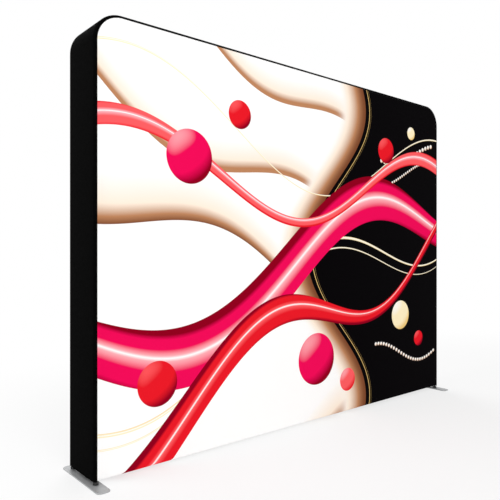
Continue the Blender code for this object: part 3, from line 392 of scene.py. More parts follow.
def print_black_field(tree, cloth, under):
    """A black field at the right with a waved edge, a warm shadow before it and gold lines in it."""
    parts = split(tree, cloth)
    turn = maths(tree, "MULTIPLY_ADD", parts[1], FIELD_TURN, FIELD_PHASE)
    edge = maths(tree, "MULTIPLY_ADD", maths(tree, "SINE", turn), FIELD_SWING, FIELD_X)
    gap = maths(tree, "SUBTRACT", parts[0], edge)
    shadow = maths(tree, "POWER", fade(tree, gap, -SHADOW_REACH, 0.0), 2.0)
    warm = ramp(tree, shadow, [(0.0, WHITE), (0.35, CREAM), (0.8, TAN), (1.0, UMBER)])
    warm = paint(tree, fade(tree, shadow, 0.0, 0.3), under, warm)
    colour = paint(tree, maths(tree, "DIVIDE", gap, PRINT_EDGE, clamp=True), warm, BLACK)
    for inset, half in FIELD_LINES:
        away = maths(tree, "ABSOLUTE", maths(tree, "SUBTRACT", gap, inset))
        line = maths(tree, "DIVIDE", maths(tree, "SUBTRACT", half, away), PRINT_EDGE, clamp=True)
        colour = paint(tree, line, colour, GOLD)
    return colour


print("the black field is edged by", len(FIELD_LINES), "gold lines")

# %% [markdown]
# A string of pearls would need hundreds of beads. Instead the wall is counted off in cells as wide as
# a pearl and its gap, and one bead stands in the middle of each cell, so one group draws the string.

# %% Paint the pearls
PEARL_PITCH_SHARE = 2.25
PEARL_STRINGS = (
    (1.86, 0.10, 1.30, 0.10, 0.72, 1.42, 0.0170),
    (1.70, 0.12, 1.45, 0.28, 0.78, 1.30, 0.0110),
    (0.34, 0.09, 1.10, 0.62, 0.66, 1.44, 0.0140),
)


def lay_bead(tree, cloth, centre, radius):
    values = {"Cloth": cloth, "Centre": centre, "Radius": radius, "Edge": PRINT_EDGE}
    return use_group(tree, bead_group, values)


def print_pearls(tree, cloth, under):
    """Strings of pearls on waves. The last three numbers are where a string starts and ends, and its
    pearls' radius."""
    colour = under
    x = split(tree, cloth)[0]
    for level, swing, wave, phase, first, last, radius in PEARL_STRINGS:
        pitch = PEARL_PITCH_SHARE * radius
        cell = maths(tree, "ADD", maths(tree, "FLOOR", maths(tree, "DIVIDE", x, pitch)), 0.5)
        centre_x = maths(tree, "MULTIPLY", cell, pitch)
        waves = maths(tree, "ADD", maths(tree, "DIVIDE", centre_x, wave), phase)
        lift = maths(tree, "SINE", maths(tree, "MULTIPLY", waves, 2 * math.pi))
        height = maths(tree, "MULTIPLY_ADD", lift, swing, level)
        centre = add_node(tree, "ShaderNodeCombineXYZ", {0: centre_x, 1: height}).outputs[0]
        pearl = lay_bead(tree, cloth, centre, radius)
        ball = ramp(tree, pearl["Shade"], [(0.0, TAN), (0.4, CREAM), (0.75, WHITE), (1.0, WHITE)])
        after = maths(tree, "GREATER_THAN", centre_x, first)
        before = maths(tree, "LESS_THAN", centre_x, last)
        mask = maths(tree, "MULTIPLY", pearl["Mask"], maths(tree, "MULTIPLY", after, before))
        colour = paint(tree, mask, colour, ball)
    return colour


print("there are", len(PEARL_STRINGS), "strings of pearls")

# %% Paint the ribbons
SATIN_LEAN = 0.16
RIBBONS = (
    ((0.86, 0.30, 0.27, 2.6, 0.20, 0.009, 0.30), GOLD_TONES),
    ((0.80, 0.30, 0.27, 2.6, 0.21, 0.005, 0.30), GOLD_TONES),
    ((1.78, -0.05, 0.30, 2.8, 0.72, 0.007, 0.30), GOLD_TONES),
    ((1.05, 0.22, 0.30, 2.9, 0.06, 0.125, 0.50), MAGENTA_TONES),
    ((0.62, 0.40, 0.24, 2.3, 0.42, 0.085, 0.55), SCARLET_TONES),
    ((1.55, 0.02, 0.26, 2.6, 0.78, 0.055, 0.45), CORAL_TONES),
)


def print_ribbons(tree, cloth, under):
    """Satin ribbons in reds and gold, with a bright line where each one turns to the light."""
    colour = under
    for shape, (dark, body, light) in RIBBONS:
        ribbon = lay_ribbon(tree, cloth, shape)
        lean = maths(tree, "MULTIPLY", ribbon["Turn"], SATIN_LEAN)
        shade = maths(tree, "ADD", maths(tree, "MULTIPLY_ADD", ribbon["Across"], 0.5, 0.5), lean)
        satin = ramp(tree, shade, [
            (0.0, dark), (0.14, body), (0.40, body), (0.57, light), (0.62, WHITE), (0.66, light),
            (0.76, body), (0.92, body), (1.0, dark),
        ])
        colour = paint(tree, ribbon["Mask"], colour, satin)
    return colour


print("there are", len(RIBBONS), "ribbons")

# %% Paint the beads
BEADS = (
    ((-0.95, 1.62, 0), 0.150, MAGENTA_TONES),
    ((-0.60, 1.90, 0), 0.085, SCARLET_TONES),
    ((-1.15, 0.42, 0), 0.120, SCARLET_TONES),
    ((0.05, 0.40, 0), 0.170, MAGENTA_TONES),
    ((0.36, 0.22, 0), 0.080, CORAL_TONES),
    ((0.98, 0.62, 0), 0.110, GOLD_TONES),
    ((1.22, 0.42, 0), 0.060, SCARLET_TONES),
    ((0.80, 1.85, 0), 0.095, SCARLET_TONES),
    ((1.12, 2.02, 0), 0.050, GOLD_TONES),
)


def print_beads(tree, cloth, under):
    """Glossy beads of several sizes, each with a highlight towards the upper left."""
    colour = under
    for centre, radius, (dark, body, light) in BEADS:
        bead = lay_bead(tree, cloth, centre, radius)
        ball = ramp(tree, bead["Shade"], [
            (0.0, dark), (0.3, body), (0.62, body), (0.84, light), (0.9, WHITE), (0.96, light), (1.0, body),
        ])
        colour = paint(tree, bead["Mask"], colour, ball)
    return colour


print("there are", len(BEADS), "beads")

# %% [markdown]
# ## The two fabrics
# Both fabrics are the same knit. The printed one is thin and lit from behind, so its colours glow and
# fall off a little at the wall's edge, where the tube stands in the light. The black one is coated
# to stop the light, and takes almost all of what falls on it. The strip's black is set the deepest,
# darker than the same cloth at the back, as painted shade; the back, which nobody looks at, is a plainer
# black.

# %% Make the printed fabric
GLOW = 0.52
UNLIT_SHARE = 0.52
EDGE_REACH, EDGE_SHADE = 0.10, 0.05
UNLIT = (0, 0, 0)


def printed_fabric():
    """The lit front: the print, the knit and a glow from the light bars behind."""
    made, tree, shader = new_material("printed_fabric", roughness=0.85, specular_ior_level=0.02)
    cloth = add_node(tree, "ShaderNodeUVMap", uv_map="cloth").outputs["UV"]
    colour = print_ground(tree, cloth)
    for print_motif in (print_black_field, print_pearls, print_ribbons, print_beads):
        colour = print_motif(tree, cloth, colour)
    tree.links.new(paint(tree, 1 - UNLIT_SHARE, colour, UNLIT), shader.inputs["Base Color"])
    to_side = maths(tree, "SUBTRACT", FLAT_X, maths(tree, "ABSOLUTE", split(tree, cloth)[0]))
    shade = maths(tree, "MULTIPLY", fade(tree, to_side, EDGE_REACH, 0.0), EDGE_SHADE)
    tree.links.new(paint(tree, shade, colour, UNLIT), shader.inputs["Emission Color"])
    shader.inputs["Emission Strength"].default_value = GLOW
    knit = use_group(tree, knit_group, {"Cloth": cloth, "Pitch": KNIT_PITCH})
    join_bump(tree, shader, knit["Height"], KNIT_DEPTH, strength=0.5)
    return made


print_cloth = printed_fabric()
print("the printed fabric has", len(print_cloth.node_tree.nodes), "nodes")

# %% Make the black fabrics
KNIT_SHADE = 0.45


def black_fabric(name, deep, pale):
    """An opaque black knit, between two tones that vary like fine dust and darker between its ribs."""
    made, tree, shader = new_material(name, roughness=0.9, specular_ior_level=0.015)
    cloth = add_node(tree, "ShaderNodeUVMap", uv_map="cloth").outputs["UV"]
    knit = use_group(tree, knit_group, {"Cloth": cloth, "Pitch": KNIT_PITCH})
    mottle = ramp(tree, knit["Fleck"], [(0.3, [deep] * 3), (0.7, [pale] * 3)])
    shadow = maths(tree, "MULTIPLY_ADD", knit["Height"], -KNIT_SHADE, KNIT_SHADE)
    tree.links.new(paint(tree, shadow, mottle, [deep / 3] * 3), shader.inputs["Base Color"])
    join_bump(tree, shader, knit["Height"], KNIT_DEPTH, strength=0.6)
    return made


# The strip is set far darker than the back, which is the same cloth: the difference is painted shade.
black_cloth = black_fabric("black_strip_fabric", 0.0010, 0.0026)
lining_cloth = black_fabric("black_back_fabric", 0.0085, 0.0160)
print("black fabrics:", black_cloth.name, "and", lining_cloth.name)

# %% [markdown]
# ## Finishes of the hard parts
# Powder coat, cast metal, drawn tube and moulded plastic differ in the size and depth of their grain
# and in how their edges rub bare. Three groups give the grain, the rubbed edges and the dust, and one
# function puts them in a material with each finish's own values. The rubbed edge compares the true
# normal with one that the Bevel node rounds off: they part only where the shape turns sharply.

# %% Build the grain, rubbed edge and dust groups
GRAIN_DETAIL = 2
PATCH_SCALE, PATCH_DETAIL = 18, 4
SCRATCH_SCALE, SCRATCH_DETAIL = 240, 6
DUST_SCALE, DUST_DETAIL = 38, 5


def build_grain_group():
    """An even grain. Grain is fine and has the given size, and Patch is a broad, cloudy unevenness."""
    tree, given, made = new_group(
        "grain", {"Place": "Vector", "Size": "Float"}, {"Grain": "Float", "Patch": "Float"}
    )
    scale = maths(tree, "DIVIDE", 1.0, given["Size"])
    tree.links.new(noise(tree, given["Place"], scale, GRAIN_DETAIL), made["Grain"])
    tree.links.new(noise(tree, given["Place"], PATCH_SCALE, PATCH_DETAIL), made["Patch"])
    return tree


def build_rub_group():
    """Where edges rub bare, broken up by a scratchy noise. Mask is 0 to 1."""
    tree, given, made = new_group(
        "rubbed edge", {"Place": "Vector", "Width": "Float", "Amount": "Float"}, {"Mask": "Float"}
    )
    rounded = add_node(tree, "ShaderNodeBevel", {"Radius": given["Width"]}, samples=6).outputs[0]
    true = add_node(tree, "ShaderNodeNewGeometry").outputs["Normal"]
    agree = vector_maths(tree, "DOT_PRODUCT", rounded, true)[1]
    broken = fade(tree, noise(tree, given["Place"], SCRATCH_SCALE, SCRATCH_DETAIL), 0.42, 0.62)
    worn = maths(tree, "MULTIPLY", fade(tree, agree, 0.99, 0.9), broken)
    tree.links.new(maths(tree, "MULTIPLY", worn, given["Amount"]), made["Mask"])
    return tree


def build_dust_group():
    """Dust that settles on what faces up, in uneven patches. Mask is 0 to 1."""
    tree, given, made = new_group("dust", {"Place": "Vector", "Amount": "Float"}, {"Mask": "Float"})
    normal = add_node(tree, "ShaderNodeNewGeometry").outputs["Normal"]
    up = fade(tree, split(tree, normal)[2], 0.4, 1.0)
    cloudy = fade(tree, noise(tree, given["Place"], DUST_SCALE, DUST_DETAIL), 0.35, 0.75)
    settled = maths(tree, "MULTIPLY", up, cloudy)
    tree.links.new(maths(tree, "MULTIPLY", settled, given["Amount"]), made["Mask"])
    return tree


grain_group, rub_group, dust_group = build_grain_group(), build_rub_group(), build_dust_group()
print("groups for hard finishes:", grain_group.name, rub_group.name, dust_group.name)

# %% [markdown]
# A finish is a row of its colour, the colour of its bare edge, its roughness, how much of a metal it
# is, the size and the depth of its grain in metres, how far its edges are rubbed, and its dust.

# %% Mix the hard finishes
DUST = (0.42, 0.40, 0.37)
RUB_WIDTH = 0.0012
SHADE_SHARE, PATCH_SHARE, GRAIN_SHARE = 0.7, 0.5, 0.3
PATCH_GLOSS, DUST_GLOSS = 0.2, 0.35
GRAIN_STRENGTH = 0.7
FINISHES = {
    "silver_powder_coat": ((0.48, 0.49, 0.50), (0.72, 0.72, 0.72), 0.44, 0.4, 0.0011, 0.00008, 0.6, 0.15),
    "satin_aluminium": ((0.62, 0.63, 0.65), (0.80, 0.80, 0.81), 0.36, 1.0, 0.0004, 0.00002, 0.3, 0.05),
    "cast_grey": ((0.30, 0.31, 0.33), (0.55, 0.55, 0.56), 0.55, 0.8, 0.0016, 0.00020, 0.5, 0.10),
    "white_bar": ((0.78, 0.78, 0.76), (0.60, 0.60, 0.60), 0.42, 0.0, 0.0010, 0.00004, 0.4, 0.05),
    "spring_steel": ((0.50, 0.50, 0.49), (0.70, 0.70, 0.70), 0.26, 1.0, 0.0004, 0.00001, 0.4, 0.0),
    "supply_case": ((0.55, 0.56, 0.57), (0.75, 0.75, 0.75), 0.40, 0.9, 0.0008, 0.00003, 0.5, 0.15),
    "black_plastic": ((0.010, 0.010, 0.011), (0.06, 0.06, 0.06), 0.42, 0.0, 0.0007, 0.00006, 0.5, 0.12),
    "zip_black": ((0.008, 0.008, 0.009), (0.05, 0.05, 0.05), 0.36, 0.0, 0.0005, 0.00003, 0.5, 0.05),
    "cable_white": ((0.72, 0.72, 0.70), (0.60, 0.60, 0.58), 0.48, 0.0, 0.0006, 0.00002, 0.2, 0.10),
}


def hard_finish(name, colour, bare, roughness, metallic, grain, depth, rub, dust):
    """A material with grain, rubbed edges and dust, from one row of the finishes."""
    made, tree, shader = new_material(name, metallic=metallic)
    place = add_node(tree, "ShaderNodeTexCoord").outputs["Object"]
    speck = use_group(tree, grain_group, {"Place": place, "Size": grain})
    rubbed = use_group(tree, rub_group, {"Place": place, "Width": RUB_WIDTH, "Amount": rub})["Mask"]
    settled = use_group(tree, dust_group, {"Place": place, "Amount": dust})["Mask"]
    darker = [SHADE_SHARE * value for value in colour]
    tone = paint(tree, maths(tree, "MULTIPLY", speck["Patch"], PATCH_SHARE), colour, darker)
    tone = paint(tree, maths(tree, "MULTIPLY", speck["Grain"], GRAIN_SHARE), tone, darker)
    tone = paint(tree, settled, paint(tree, rubbed, tone, bare), DUST)
    tree.links.new(tone, shader.inputs["Base Color"])
    gloss = maths(tree, "MULTIPLY_ADD", speck["Patch"], PATCH_GLOSS, roughness - PATCH_GLOSS / 2)
    gloss = maths(tree, "MULTIPLY_ADD", settled, DUST_GLOSS, gloss, clamp=True)
    tree.links.new(gloss, shader.inputs["Roughness"])
    join_bump(tree, shader, speck["Grain"], depth, GRAIN_STRENGTH)
    return made


finishes = {name: hard_finish(name, *values) for name, values in FINISHES.items()}
print("hard finishes:", ", ".join(finishes))

# %% [markdown]
# The tubes, castings, bars and buttons of the frame keep their engineering meshes, because their
# shapes are right. Each one only gets the finish that its own material slot names.

# %% Finish the frame's own parts
for part in frame["nodes"].values():
    for slot in part.material_slots:
        slot.material = finishes.get(slot.material.name, black_cloth)
print("finished", len(frame["nodes"]), "parts of the frame")

# %% [markdown]
# ## Helpers for modelling by hand
# Edit-mode operators act on what is selected, so each step starts from nothing selected and picks
# its faces or edges in code, by their place. A finished piece keeps its object at the origin.

# %% Make helpers for adding and selecting
def deselect_all():
    if bpy.context.object and bpy.context.object.mode != "OBJECT":
        bpy.ops.object.mode_set(mode="OBJECT")
    bpy.ops.object.select_all(action="DESELECT")


def make_active(piece):
    deselect_all()
    piece.select_set(True)
    bpy.context.view_layer.objects.active = piece


def add_box(name, low, high):
    """A cube primitive stretched between two corners, with its size in its mesh."""
    deselect_all()
    centre = [(a + b) / 2 for a, b in zip(low, high)]
    bpy.ops.mesh.primitive_cube_add(size=1, location=centre)
    piece = bpy.context.object
    piece.scale = [b - a for a, b in zip(low, high)]
    piece.name = name
    bpy.ops.object.transform_apply(location=True, rotation=True, scale=True)
    return piece


def add_rod(name, centre, radius, depth, axis="Z", sides=32):
    """A cylinder primitive along an axis, with its place in its mesh."""
    deselect_all()
    turn = {"X": (0, math.radians(90), 0), "Y": (math.radians(90), 0, 0), "Z": (0, 0, 0)}[axis]
    bpy.ops.mesh.primitive_cylinder_add(
        vertices=sides, radius=radius, depth=depth, location=centre, rotation=turn
    )
    piece = bpy.context.object
    piece.name = name
    bpy.ops.object.transform_apply(location=True, rotation=True, scale=True)
    return piece


def select_parts(piece, kind, test):
    """In edit mode, selects the vertices, edges or faces whose middle passes a test."""
    make_active(piece)
    bpy.ops.object.mode_set(mode="EDIT")
    bpy.ops.mesh.select_mode(type=kind)
    bpy.ops.mesh.select_all(action="DESELECT")
    bpy.ops.object.mode_set(mode="OBJECT")
    mesh = piece.data
    if kind == "VERT":
        for vertex in mesh.vertices:
            vertex.select = test(vertex.co)
    elif kind == "EDGE":
        for edge in mesh.edges:
            first, second = (mesh.vertices[i].co for i in edge.vertices)
            edge.select = test((first + second) / 2, second - first)
    else:
        for face in mesh.polygons:
            face.select = test(face.center, face.normal)
    bpy.ops.object.mode_set(mode="EDIT")


def finish_edit():
    bpy.ops.object.mode_set(mode="OBJECT")


def everywhere(*place):
    """The test that every part passes."""
    return True


def near(value, target, reach=0.0002):
    return abs(value - target) < reach


def middle_of(name):
    """The middle of a CAD node's box."""
    return [(low + high) / 2 for low, high in zip(*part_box(name))]


print("helpers for adding and selecting are ready")


# %% Make helpers for cutting and joining
def bevel_edges(piece, test, width, steps):
    """Rounds the edges that pass a test. One step gives a flat chamfer."""
    select_parts(piece, "EDGE", test)
    bpy.ops.mesh.bevel(offset=width, segments=steps)
    finish_edit()


def slice_cloth(piece, point, across, test=everywhere):
    """Draws a line of edges where a plane crosses the faces that pass a test."""
    select_parts(piece, "FACE", test)
    bpy.ops.mesh.bisect(plane_co=point, plane_no=across)
    finish_edit()


def delete_faces(piece, test):
    select_parts(piece, "FACE", test)
    bpy.ops.mesh.delete(type="FACE")
    finish_edit()


def merge_doubles(piece, reach=0.000005):
    """Merges the vertices that a cut or a bevel left in one place."""
    select_parts(piece, "VERT", everywhere)
    bpy.ops.mesh.remove_doubles(threshold=reach)
    bpy.ops.mesh.dissolve_degenerate(threshold=reach)
    finish_edit()


def join_pieces(first, *others):
    """Makes several pieces one object, which keeps the first one's name."""
    make_active(first)
    for other in others:
        other.select_set(True)
    bpy.ops.object.join()
    return first


def apply_modifier(piece, kind, **settings):
    """Adds a modifier with its settings and applies it."""
    make_active(piece)
    change = piece.modifiers.new(kind.lower(), kind)
    for name, value in settings.items():
        setattr(change, name, value)
    bpy.ops.object.modifier_apply(modifier=change.name)


def apply_boolean(piece, tool, operation):
    """Joins or cuts with the shape of another object, then removes that object."""
    apply_modifier(piece, "BOOLEAN", object=tool, operation=operation)
    mesh = tool.data
    bpy.data.objects.remove(tool)
    bpy.data.meshes.remove(mesh)
    merge_doubles(piece)


def cut(piece, tool):
    """Cuts the shape of a tool out of a piece."""
    apply_boolean(piece, tool, "DIFFERENCE")


def weld(piece, other):
    """Makes a piece and another shape one solid."""
    apply_boolean(piece, other, "UNION")


def shade_smooth(piece, angle_deg=35):
    make_active(piece)
    bpy.ops.object.shade_smooth_by_angle(angle=math.radians(angle_deg))


def dress(piece, finish, slot, *replaced, body="wall"):
    """Gives a piece its material, its body and the CAD nodes it stands for. Its slot is not used."""
    piece.data.materials.clear()
    piece.data.materials.append(finish)
    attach(piece, body)
    if replaced:
        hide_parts(*replaced)
    print(f"{piece.name}: {len(piece.data.polygons)} faces")


print("helpers for cutting and joining are ready")

# %% [markdown]
# ## The sewn cover
# The real cover is cut from flat cloth: one printed front, a long strip for the edge and a black
# back, sewn along the lines where the flat faces start to curve round the tubes. Each panel could be
# built alone, but their edges have to meet, so one block is given the wall's outside shape and is
# then parted along the seams. Two bevels do it: a wide one for the top corners and a narrow one for
# the rim round every tube.

# %% Shape the whole cover
RIM_STEPS = 8
CORNER_STEPS = 28

cover = add_box("cover", (-OUTSIDE_X, FRONT_Y, WALL_BOTTOM), (OUTSIDE_X, BACK_Y, WALL_TOP))
bevel_edges(
    cover, lambda middle, run: near(middle.z, WALL_TOP) and near(abs(middle.x), OUTSIDE_X),
    CORNER_RADIUS, CORNER_STEPS,
)
bevel_edges(cover, lambda middle, run: near(run.y, 0), RIM, RIM_STEPS)
print("the cover block has", len(cover.data.polygons), "faces")

# %% [markdown]
# ## Parting the cover along its seams
# The printed panel is the flat front and the curve round the bottom front tube. The back is flat, and
# the underside is what lies between the two bottom tubes, with the curve at the back. Everything else
# is the strip that goes round the edge. The faces of each are told by where they lie and face.

# %% Part the cover along its seams
SQUARELY = 0.999


def under_front(centre):
    """The curve round the bottom front tube, between the two sides."""
    return centre.z < FLAT_BOTTOM and centre.y < TURN_FRONT and abs(centre.x) < FLAT_X


def under_back(centre):
    """The underside and the curve round the bottom back tube, between the two sides."""
    return centre.z < FLAT_BOTTOM and centre.y > TURN_FRONT and abs(centre.x) < FLAT_X


def part_off(whole, name, test):
    """Separates the faces that pass a test as a piece of their own."""
    known = set(bpy.data.objects)
    select_parts(whole, "FACE", test)
    bpy.ops.mesh.separate(type="SELECTED")
    finish_edit()
    piece = next(found for found in bpy.data.objects if found not in known)
    piece.name = name
    return piece


printed_front = part_off(
    cover, "printed_front", lambda centre, normal: normal.y < -SQUARELY or under_front(centre)
)
black_back = part_off(cover, "black_back", lambda centre, normal: normal.y > SQUARELY)
underside = part_off(
    cover, "black_underside", lambda centre, normal: normal.z < -SQUARELY or under_back(centre)
)
edge_strip = cover
edge_strip.name = "black_edge_strip"
cloths = (printed_front, black_back, underside, edge_strip)
for piece in cloths:
    print(piece.name, "has", len(piece.data.polygons), "faces")

# %% [markdown]
# The two bevels met in a mitre at each bottom corner. The sewn strip has no mitre there: its rims run
# straight down past the bottom tube and it is closed underneath. So the cloth that turns round a
# bottom tube is cut off square, the strip's lower ends are drawn down, and each is extruded inwards.

# %% Square the bottom corners
CAP_SHARE = 0.2
SLANT = 0.01

bottom_corners = [Vector((x, y, WALL_BOTTOM)) for x in (-FLAT_X, FLAT_X) for y in (TURN_FRONT, TURN_BACK)]


def turned(centre, normal):
    """The cloth that turns round a bottom tube."""
    return normal.z < -SLANT and abs(normal.y) > SLANT


for piece in (printed_front, underside):
    for side in (-1, 1):
        slice_cloth(piece, (side * FLAT_X, 0, 0), (1, 0, 0), turned)
    delete_faces(piece, lambda centre, normal: turned(centre, normal) and abs(centre.x) > FLAT_X)
for vertex in edge_strip.data.vertices:
    if vertex.co.z < FLAT_BOTTOM or near(vertex.co.z, FLAT_BOTTOM):
        vertex.co.z = WALL_BOTTOM
for corner in bottom_corners:
    select_parts(edge_strip, "EDGE", lambda middle, run: (middle - corner).length < RIM)
    bpy.ops.mesh.extrude_region_move()
    bpy.ops.transform.resize(value=(CAP_SHARE, CAP_SHARE, 1), center_override=corner)
    finish_edit()
print("the edge strip has", len(edge_strip.data.polygons), "faces with its four caps")

# %% [markdown]
# The back opens with a zip just above the floor, so the black back is parted again there: what lies
# under the zip belongs to the underside. A bisect draws the two edges of the zip's slot, and the
# strip between them is deleted. The print is turned under by a few centimetres, and the underside
# starts where this hem ends.

# %% Open the zip slot and the hem
SEWING_REACH = 0.0001

zip_low, zip_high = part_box("zip_chain")
strip_left, strip_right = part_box("back_strip_left"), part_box("back_strip_right")
ZIP_LEVEL = middle_of("zip_chain")[2]
SLOT_LOW, SLOT_HIGH = bottom_band[1][2], strip_left[0][2]


def sew_together(first, second):
    """Joins two pieces of cloth and merges the vertices where their edges meet."""
    select_parts(join_pieces(first, second), "VERT", everywhere)
    bpy.ops.mesh.remove_doubles(threshold=SEWING_REACH)
    finish_edit()


for level in (SLOT_LOW, SLOT_HIGH):
    slice_cloth(black_back, (0, BACK_Y, level), (0, 0, 1))
delete_faces(black_back, lambda centre, normal: SLOT_LOW < centre.z < SLOT_HIGH)
below_zip = part_off(black_back, "below_zip", lambda centre, normal: centre.z < SLOT_LOW)
slice_cloth(underside, (0, GRAPHIC_TURN, WALL_BOTTOM), (0, 1, 0))
for side in (-1, 1):
    slice_cloth(underside, (side * FLAT_X, 0, 0), (1, 0, 0), lambda centre, normal: centre.y < GRAPHIC_TURN)


def in_hem(centre, normal):
    """The part of the print that is turned under."""
    return centre.y < GRAPHIC_TURN and abs(centre.x) < FLAT_X and normal.z < -SQUARELY


hem = part_off(underside, "hem", in_hem)
sew_together(printed_front, hem)
sew_together(underside, below_zip)
print("the print has", len(printed_front.data.polygons), "faces with its hem")

# %% [markdown]
# ## Cloth coordinates
# A UV map in metres of cloth is the honest way to place a print: across is the distance along the
# wall, and up is the distance over the cloth, which goes on round the tube at the bottom, so that the
# print and the knit run on unbroken there. On the edge strip, one number runs along the seam and the
# other from the front rim to the back rim.

# %% Lay out the cloth maps
REACH_X, REACH_Z = OUTSIDE_X - CORNER_RADIUS, WALL_TOP - CORNER_RADIUS
ARC_LENGTH = CORNER_RADIUS * math.pi / 2


def along_edge(point):
    """The distance along the strip, up the side, round the corner and along the top."""
    across, up = abs(point.x) - REACH_X, point.z - REACH_Z
    straight = REACH_Z - WALL_BOTTOM
    if up <= 0:
        return point.z - WALL_BOTTOM
    if across <= 0:
        return straight + ARC_LENGTH - across
    return straight + CORNER_RADIUS * math.atan2(up, across)


def rim_arc(depth):
    """How far over the curve a point lies, from its depth behind the tangent line, 0 to RIM."""
    return RIM * math.asin(max(0.0, min(1.0, depth / RIM)))


def over_front(point):
    """The print's two numbers: along the wall, and up the cloth from the turn of the bottom tube."""
    if point.z >= FLAT_BOTTOM:
        return point.x, point.z - WALL_BOTTOM
    if point.y < TURN_FRONT:
        return point.x, RIM - rim_arc(FLAT_BOTTOM - point.z)
    return point.x, RIM - RIM * math.pi / 2 - (point.y - TURN_FRONT)


def over_strip(point):
    """The strip's two numbers: from the front rim to the back rim, and along the seam."""
    if point.y < TURN_FRONT:
        over = TURN_FRONT - rim_arc(TURN_FRONT - point.y)
    elif point.y > TURN_BACK:
        over = TURN_BACK + rim_arc(point.y - TURN_BACK)
    else:
        over = point.y
    return over, along_edge(point)


def over_back(point):
    """Flat cloth that stands upright: along the wall, and up."""
    return point.x, point.z


def map_cloth(piece, layout):
    """Gives a piece one UV map, called cloth, by a layout of its points."""
    mesh = piece.data
    while mesh.uv_layers:
        mesh.uv_layers.remove(mesh.uv_layers[0])
    cloth = mesh.uv_layers.new(name="cloth")
    for corner in mesh.loops:
        cloth.data[corner.index].uv = layout(mesh.vertices[corner.vertex_index].co)


map_cloth(printed_front, over_front)
map_cloth(black_back, over_back)
map_cloth(underside, lambda point: (point.x, point.y + point.z))
map_cloth(edge_strip, over_strip)

# %% [markdown]
# ## Seams, thickness and openings
# A stretched cloth is never quite flat. An inset round it leaves a narrow margin, and the cloth inside
# stands half a millimetre proud, as it does where a row of stitches pulls its edge down. Solidify then
# gives the fabric its thickness on the inside, and the holes for the foot bolts are cut last, through
# the full thickness.

# %% Finish the cloth
SEAM_WIDTH = 0.004
SEAM_DIP = 0.0005
CLOTH_SMOOTH_DEG = 40
BOLT_HOLE, HOLE_SIDES = 0.0085, 36

bolt_names = [f"hand_bolt_{loop}_{side}" for loop in ("front", "back") for side in ("left", "right")]
bolt_places = {name: middle_of(name)[:2] for name in bolt_names}


def press_seam(piece, test):
    """Leaves a pressed margin round the faces that pass a test."""
    select_parts(piece, "FACE", test)
    bpy.ops.mesh.inset(thickness=SEAM_WIDTH, depth=SEAM_DIP, use_boundary=True)
    finish_edit()


def cut_bolt_hole(piece, x, y):
    cut(piece, add_rod("hole", (x, y, WALL_BOTTOM), BOLT_HOLE, 2 * RIM, sides=HOLE_SIDES))


press_seam(printed_front, lambda centre, normal: normal.y < -SQUARELY)
press_seam(black_back, everywhere)
for piece in cloths:
    apply_modifier(piece, "SOLIDIFY", thickness=FABRIC, offset=-1, use_even_offset=True)
    shade_smooth(piece, CLOTH_SMOOTH_DEG)
    if piece is not black_back:
        for x, y in bolt_places.values():
            cut_bolt_hole(piece, x, y)
print("the cover is sewn, and holes are cut for", len(bolt_places), "foot bolts")

# %% [markdown]
# At each lower end of the strip, its square rim stands clear of the cloth that curves round the
# bottom tube. A cheek of the same cloth closes that gap, as a folded corner does in a sewn cover: a
# thin box, cut by the tube's curve and by the hole of the nearest bolt.

# %% Close the strip's lower ends
CURVE_SIDES = 64


def add_cheek(corner):
    """Closes the end of a turned edge, between the strip's straight rim and the cloth's curve."""
    cloth_y = FRONT_Y + FABRIC / 2 if near(corner.y, TURN_FRONT) else BACK_Y - FABRIC / 2
    xs = sorted((corner.x, corner.x + math.copysign(FABRIC, corner.x)))
    ys = sorted((corner.y, cloth_y))
    cheek = add_box("cheek", (xs[0], ys[0], WALL_BOTTOM + FABRIC / 2), (xs[1], ys[1], FLAT_BOTTOM))
    curve_place = (corner.x, corner.y, FLAT_BOTTOM)
    cut(cheek, add_rod("curve", curve_place, RIM - FABRIC / 2, 4 * FABRIC, "X", CURVE_SIDES))
    cut_bolt_hole(cheek, *min(bolt_places.values(), key=lambda place: math.dist(place, corner.xy)))
    map_cloth(cheek, lambda point: (point.y, point.z))
    return cheek


join_pieces(edge_strip, *(add_cheek(corner) for corner in bottom_corners))
print("the edge strip has", len(edge_strip.data.polygons), "faces with its four cheeks")

# %% [markdown]
# The mains inlet shows through a port in the back, just above the zip. It is cut by a block with two
# rounded upper corners. The same block, made a little larger or smaller, shapes the port's binding.

# %% Cut the port
PORT_ROUNDING, PORT_STEPS = 0.008, 6
PORT_LEFT, PORT_RIGHT, PORT_TOP = strip_left[1][0], strip_right[0][0], strip_left[1][2]


def add_port(name, grow, low_y, high_y):
    """A block with the port's outline, grown all round. Ungrown, it runs on down through the slot."""
    low = (PORT_LEFT - grow, low_y, SLOT_HIGH - (0 if grow else RIM))
    block = add_box(name, low, (PORT_RIGHT + grow, high_y, PORT_TOP + grow))
    bevel_edges(
        block, lambda middle, run: abs(run.y) > 0 and near(middle.z, PORT_TOP + grow),
        PORT_ROUNDING + grow, PORT_STEPS,
    )
    return block


cut(black_back, add_port("port", 0, BACK_Y - RIM, BACK_Y + RIM))
print("the port is", round(PORT_RIGHT - PORT_LEFT, 4), "m wide")

# %% [markdown]
# Each cloth rides on the wall. It stands for the CAD skins, which stay in the physics model.

# %% Dress the cover
dress(printed_front, print_cloth, "printed_fabric", "front_graphic")
dress(edge_strip, black_cloth, "black_fabric", "side_band_left", "side_band_right", "top_band")
dress(underside, lining_cloth, "black_fabric", "bottom_band")
dress(black_back, lining_cloth, "black_fabric", "back_panel", "back_strip_left", "back_strip_right")

# %% [markdown]
# ## Thread along the seams
# A row of stitches is one small loop of thread, repeated. An Array modifier lays copies end to end for
# the length of a curve, and a Curve modifier bends the row along it. The curve is a plane with two
# rounded corners and no bottom edge, and it lies flat while the row is made, because a curve that
# stays level keeps its stitches upright. Then the whole row is stood up against the wall.

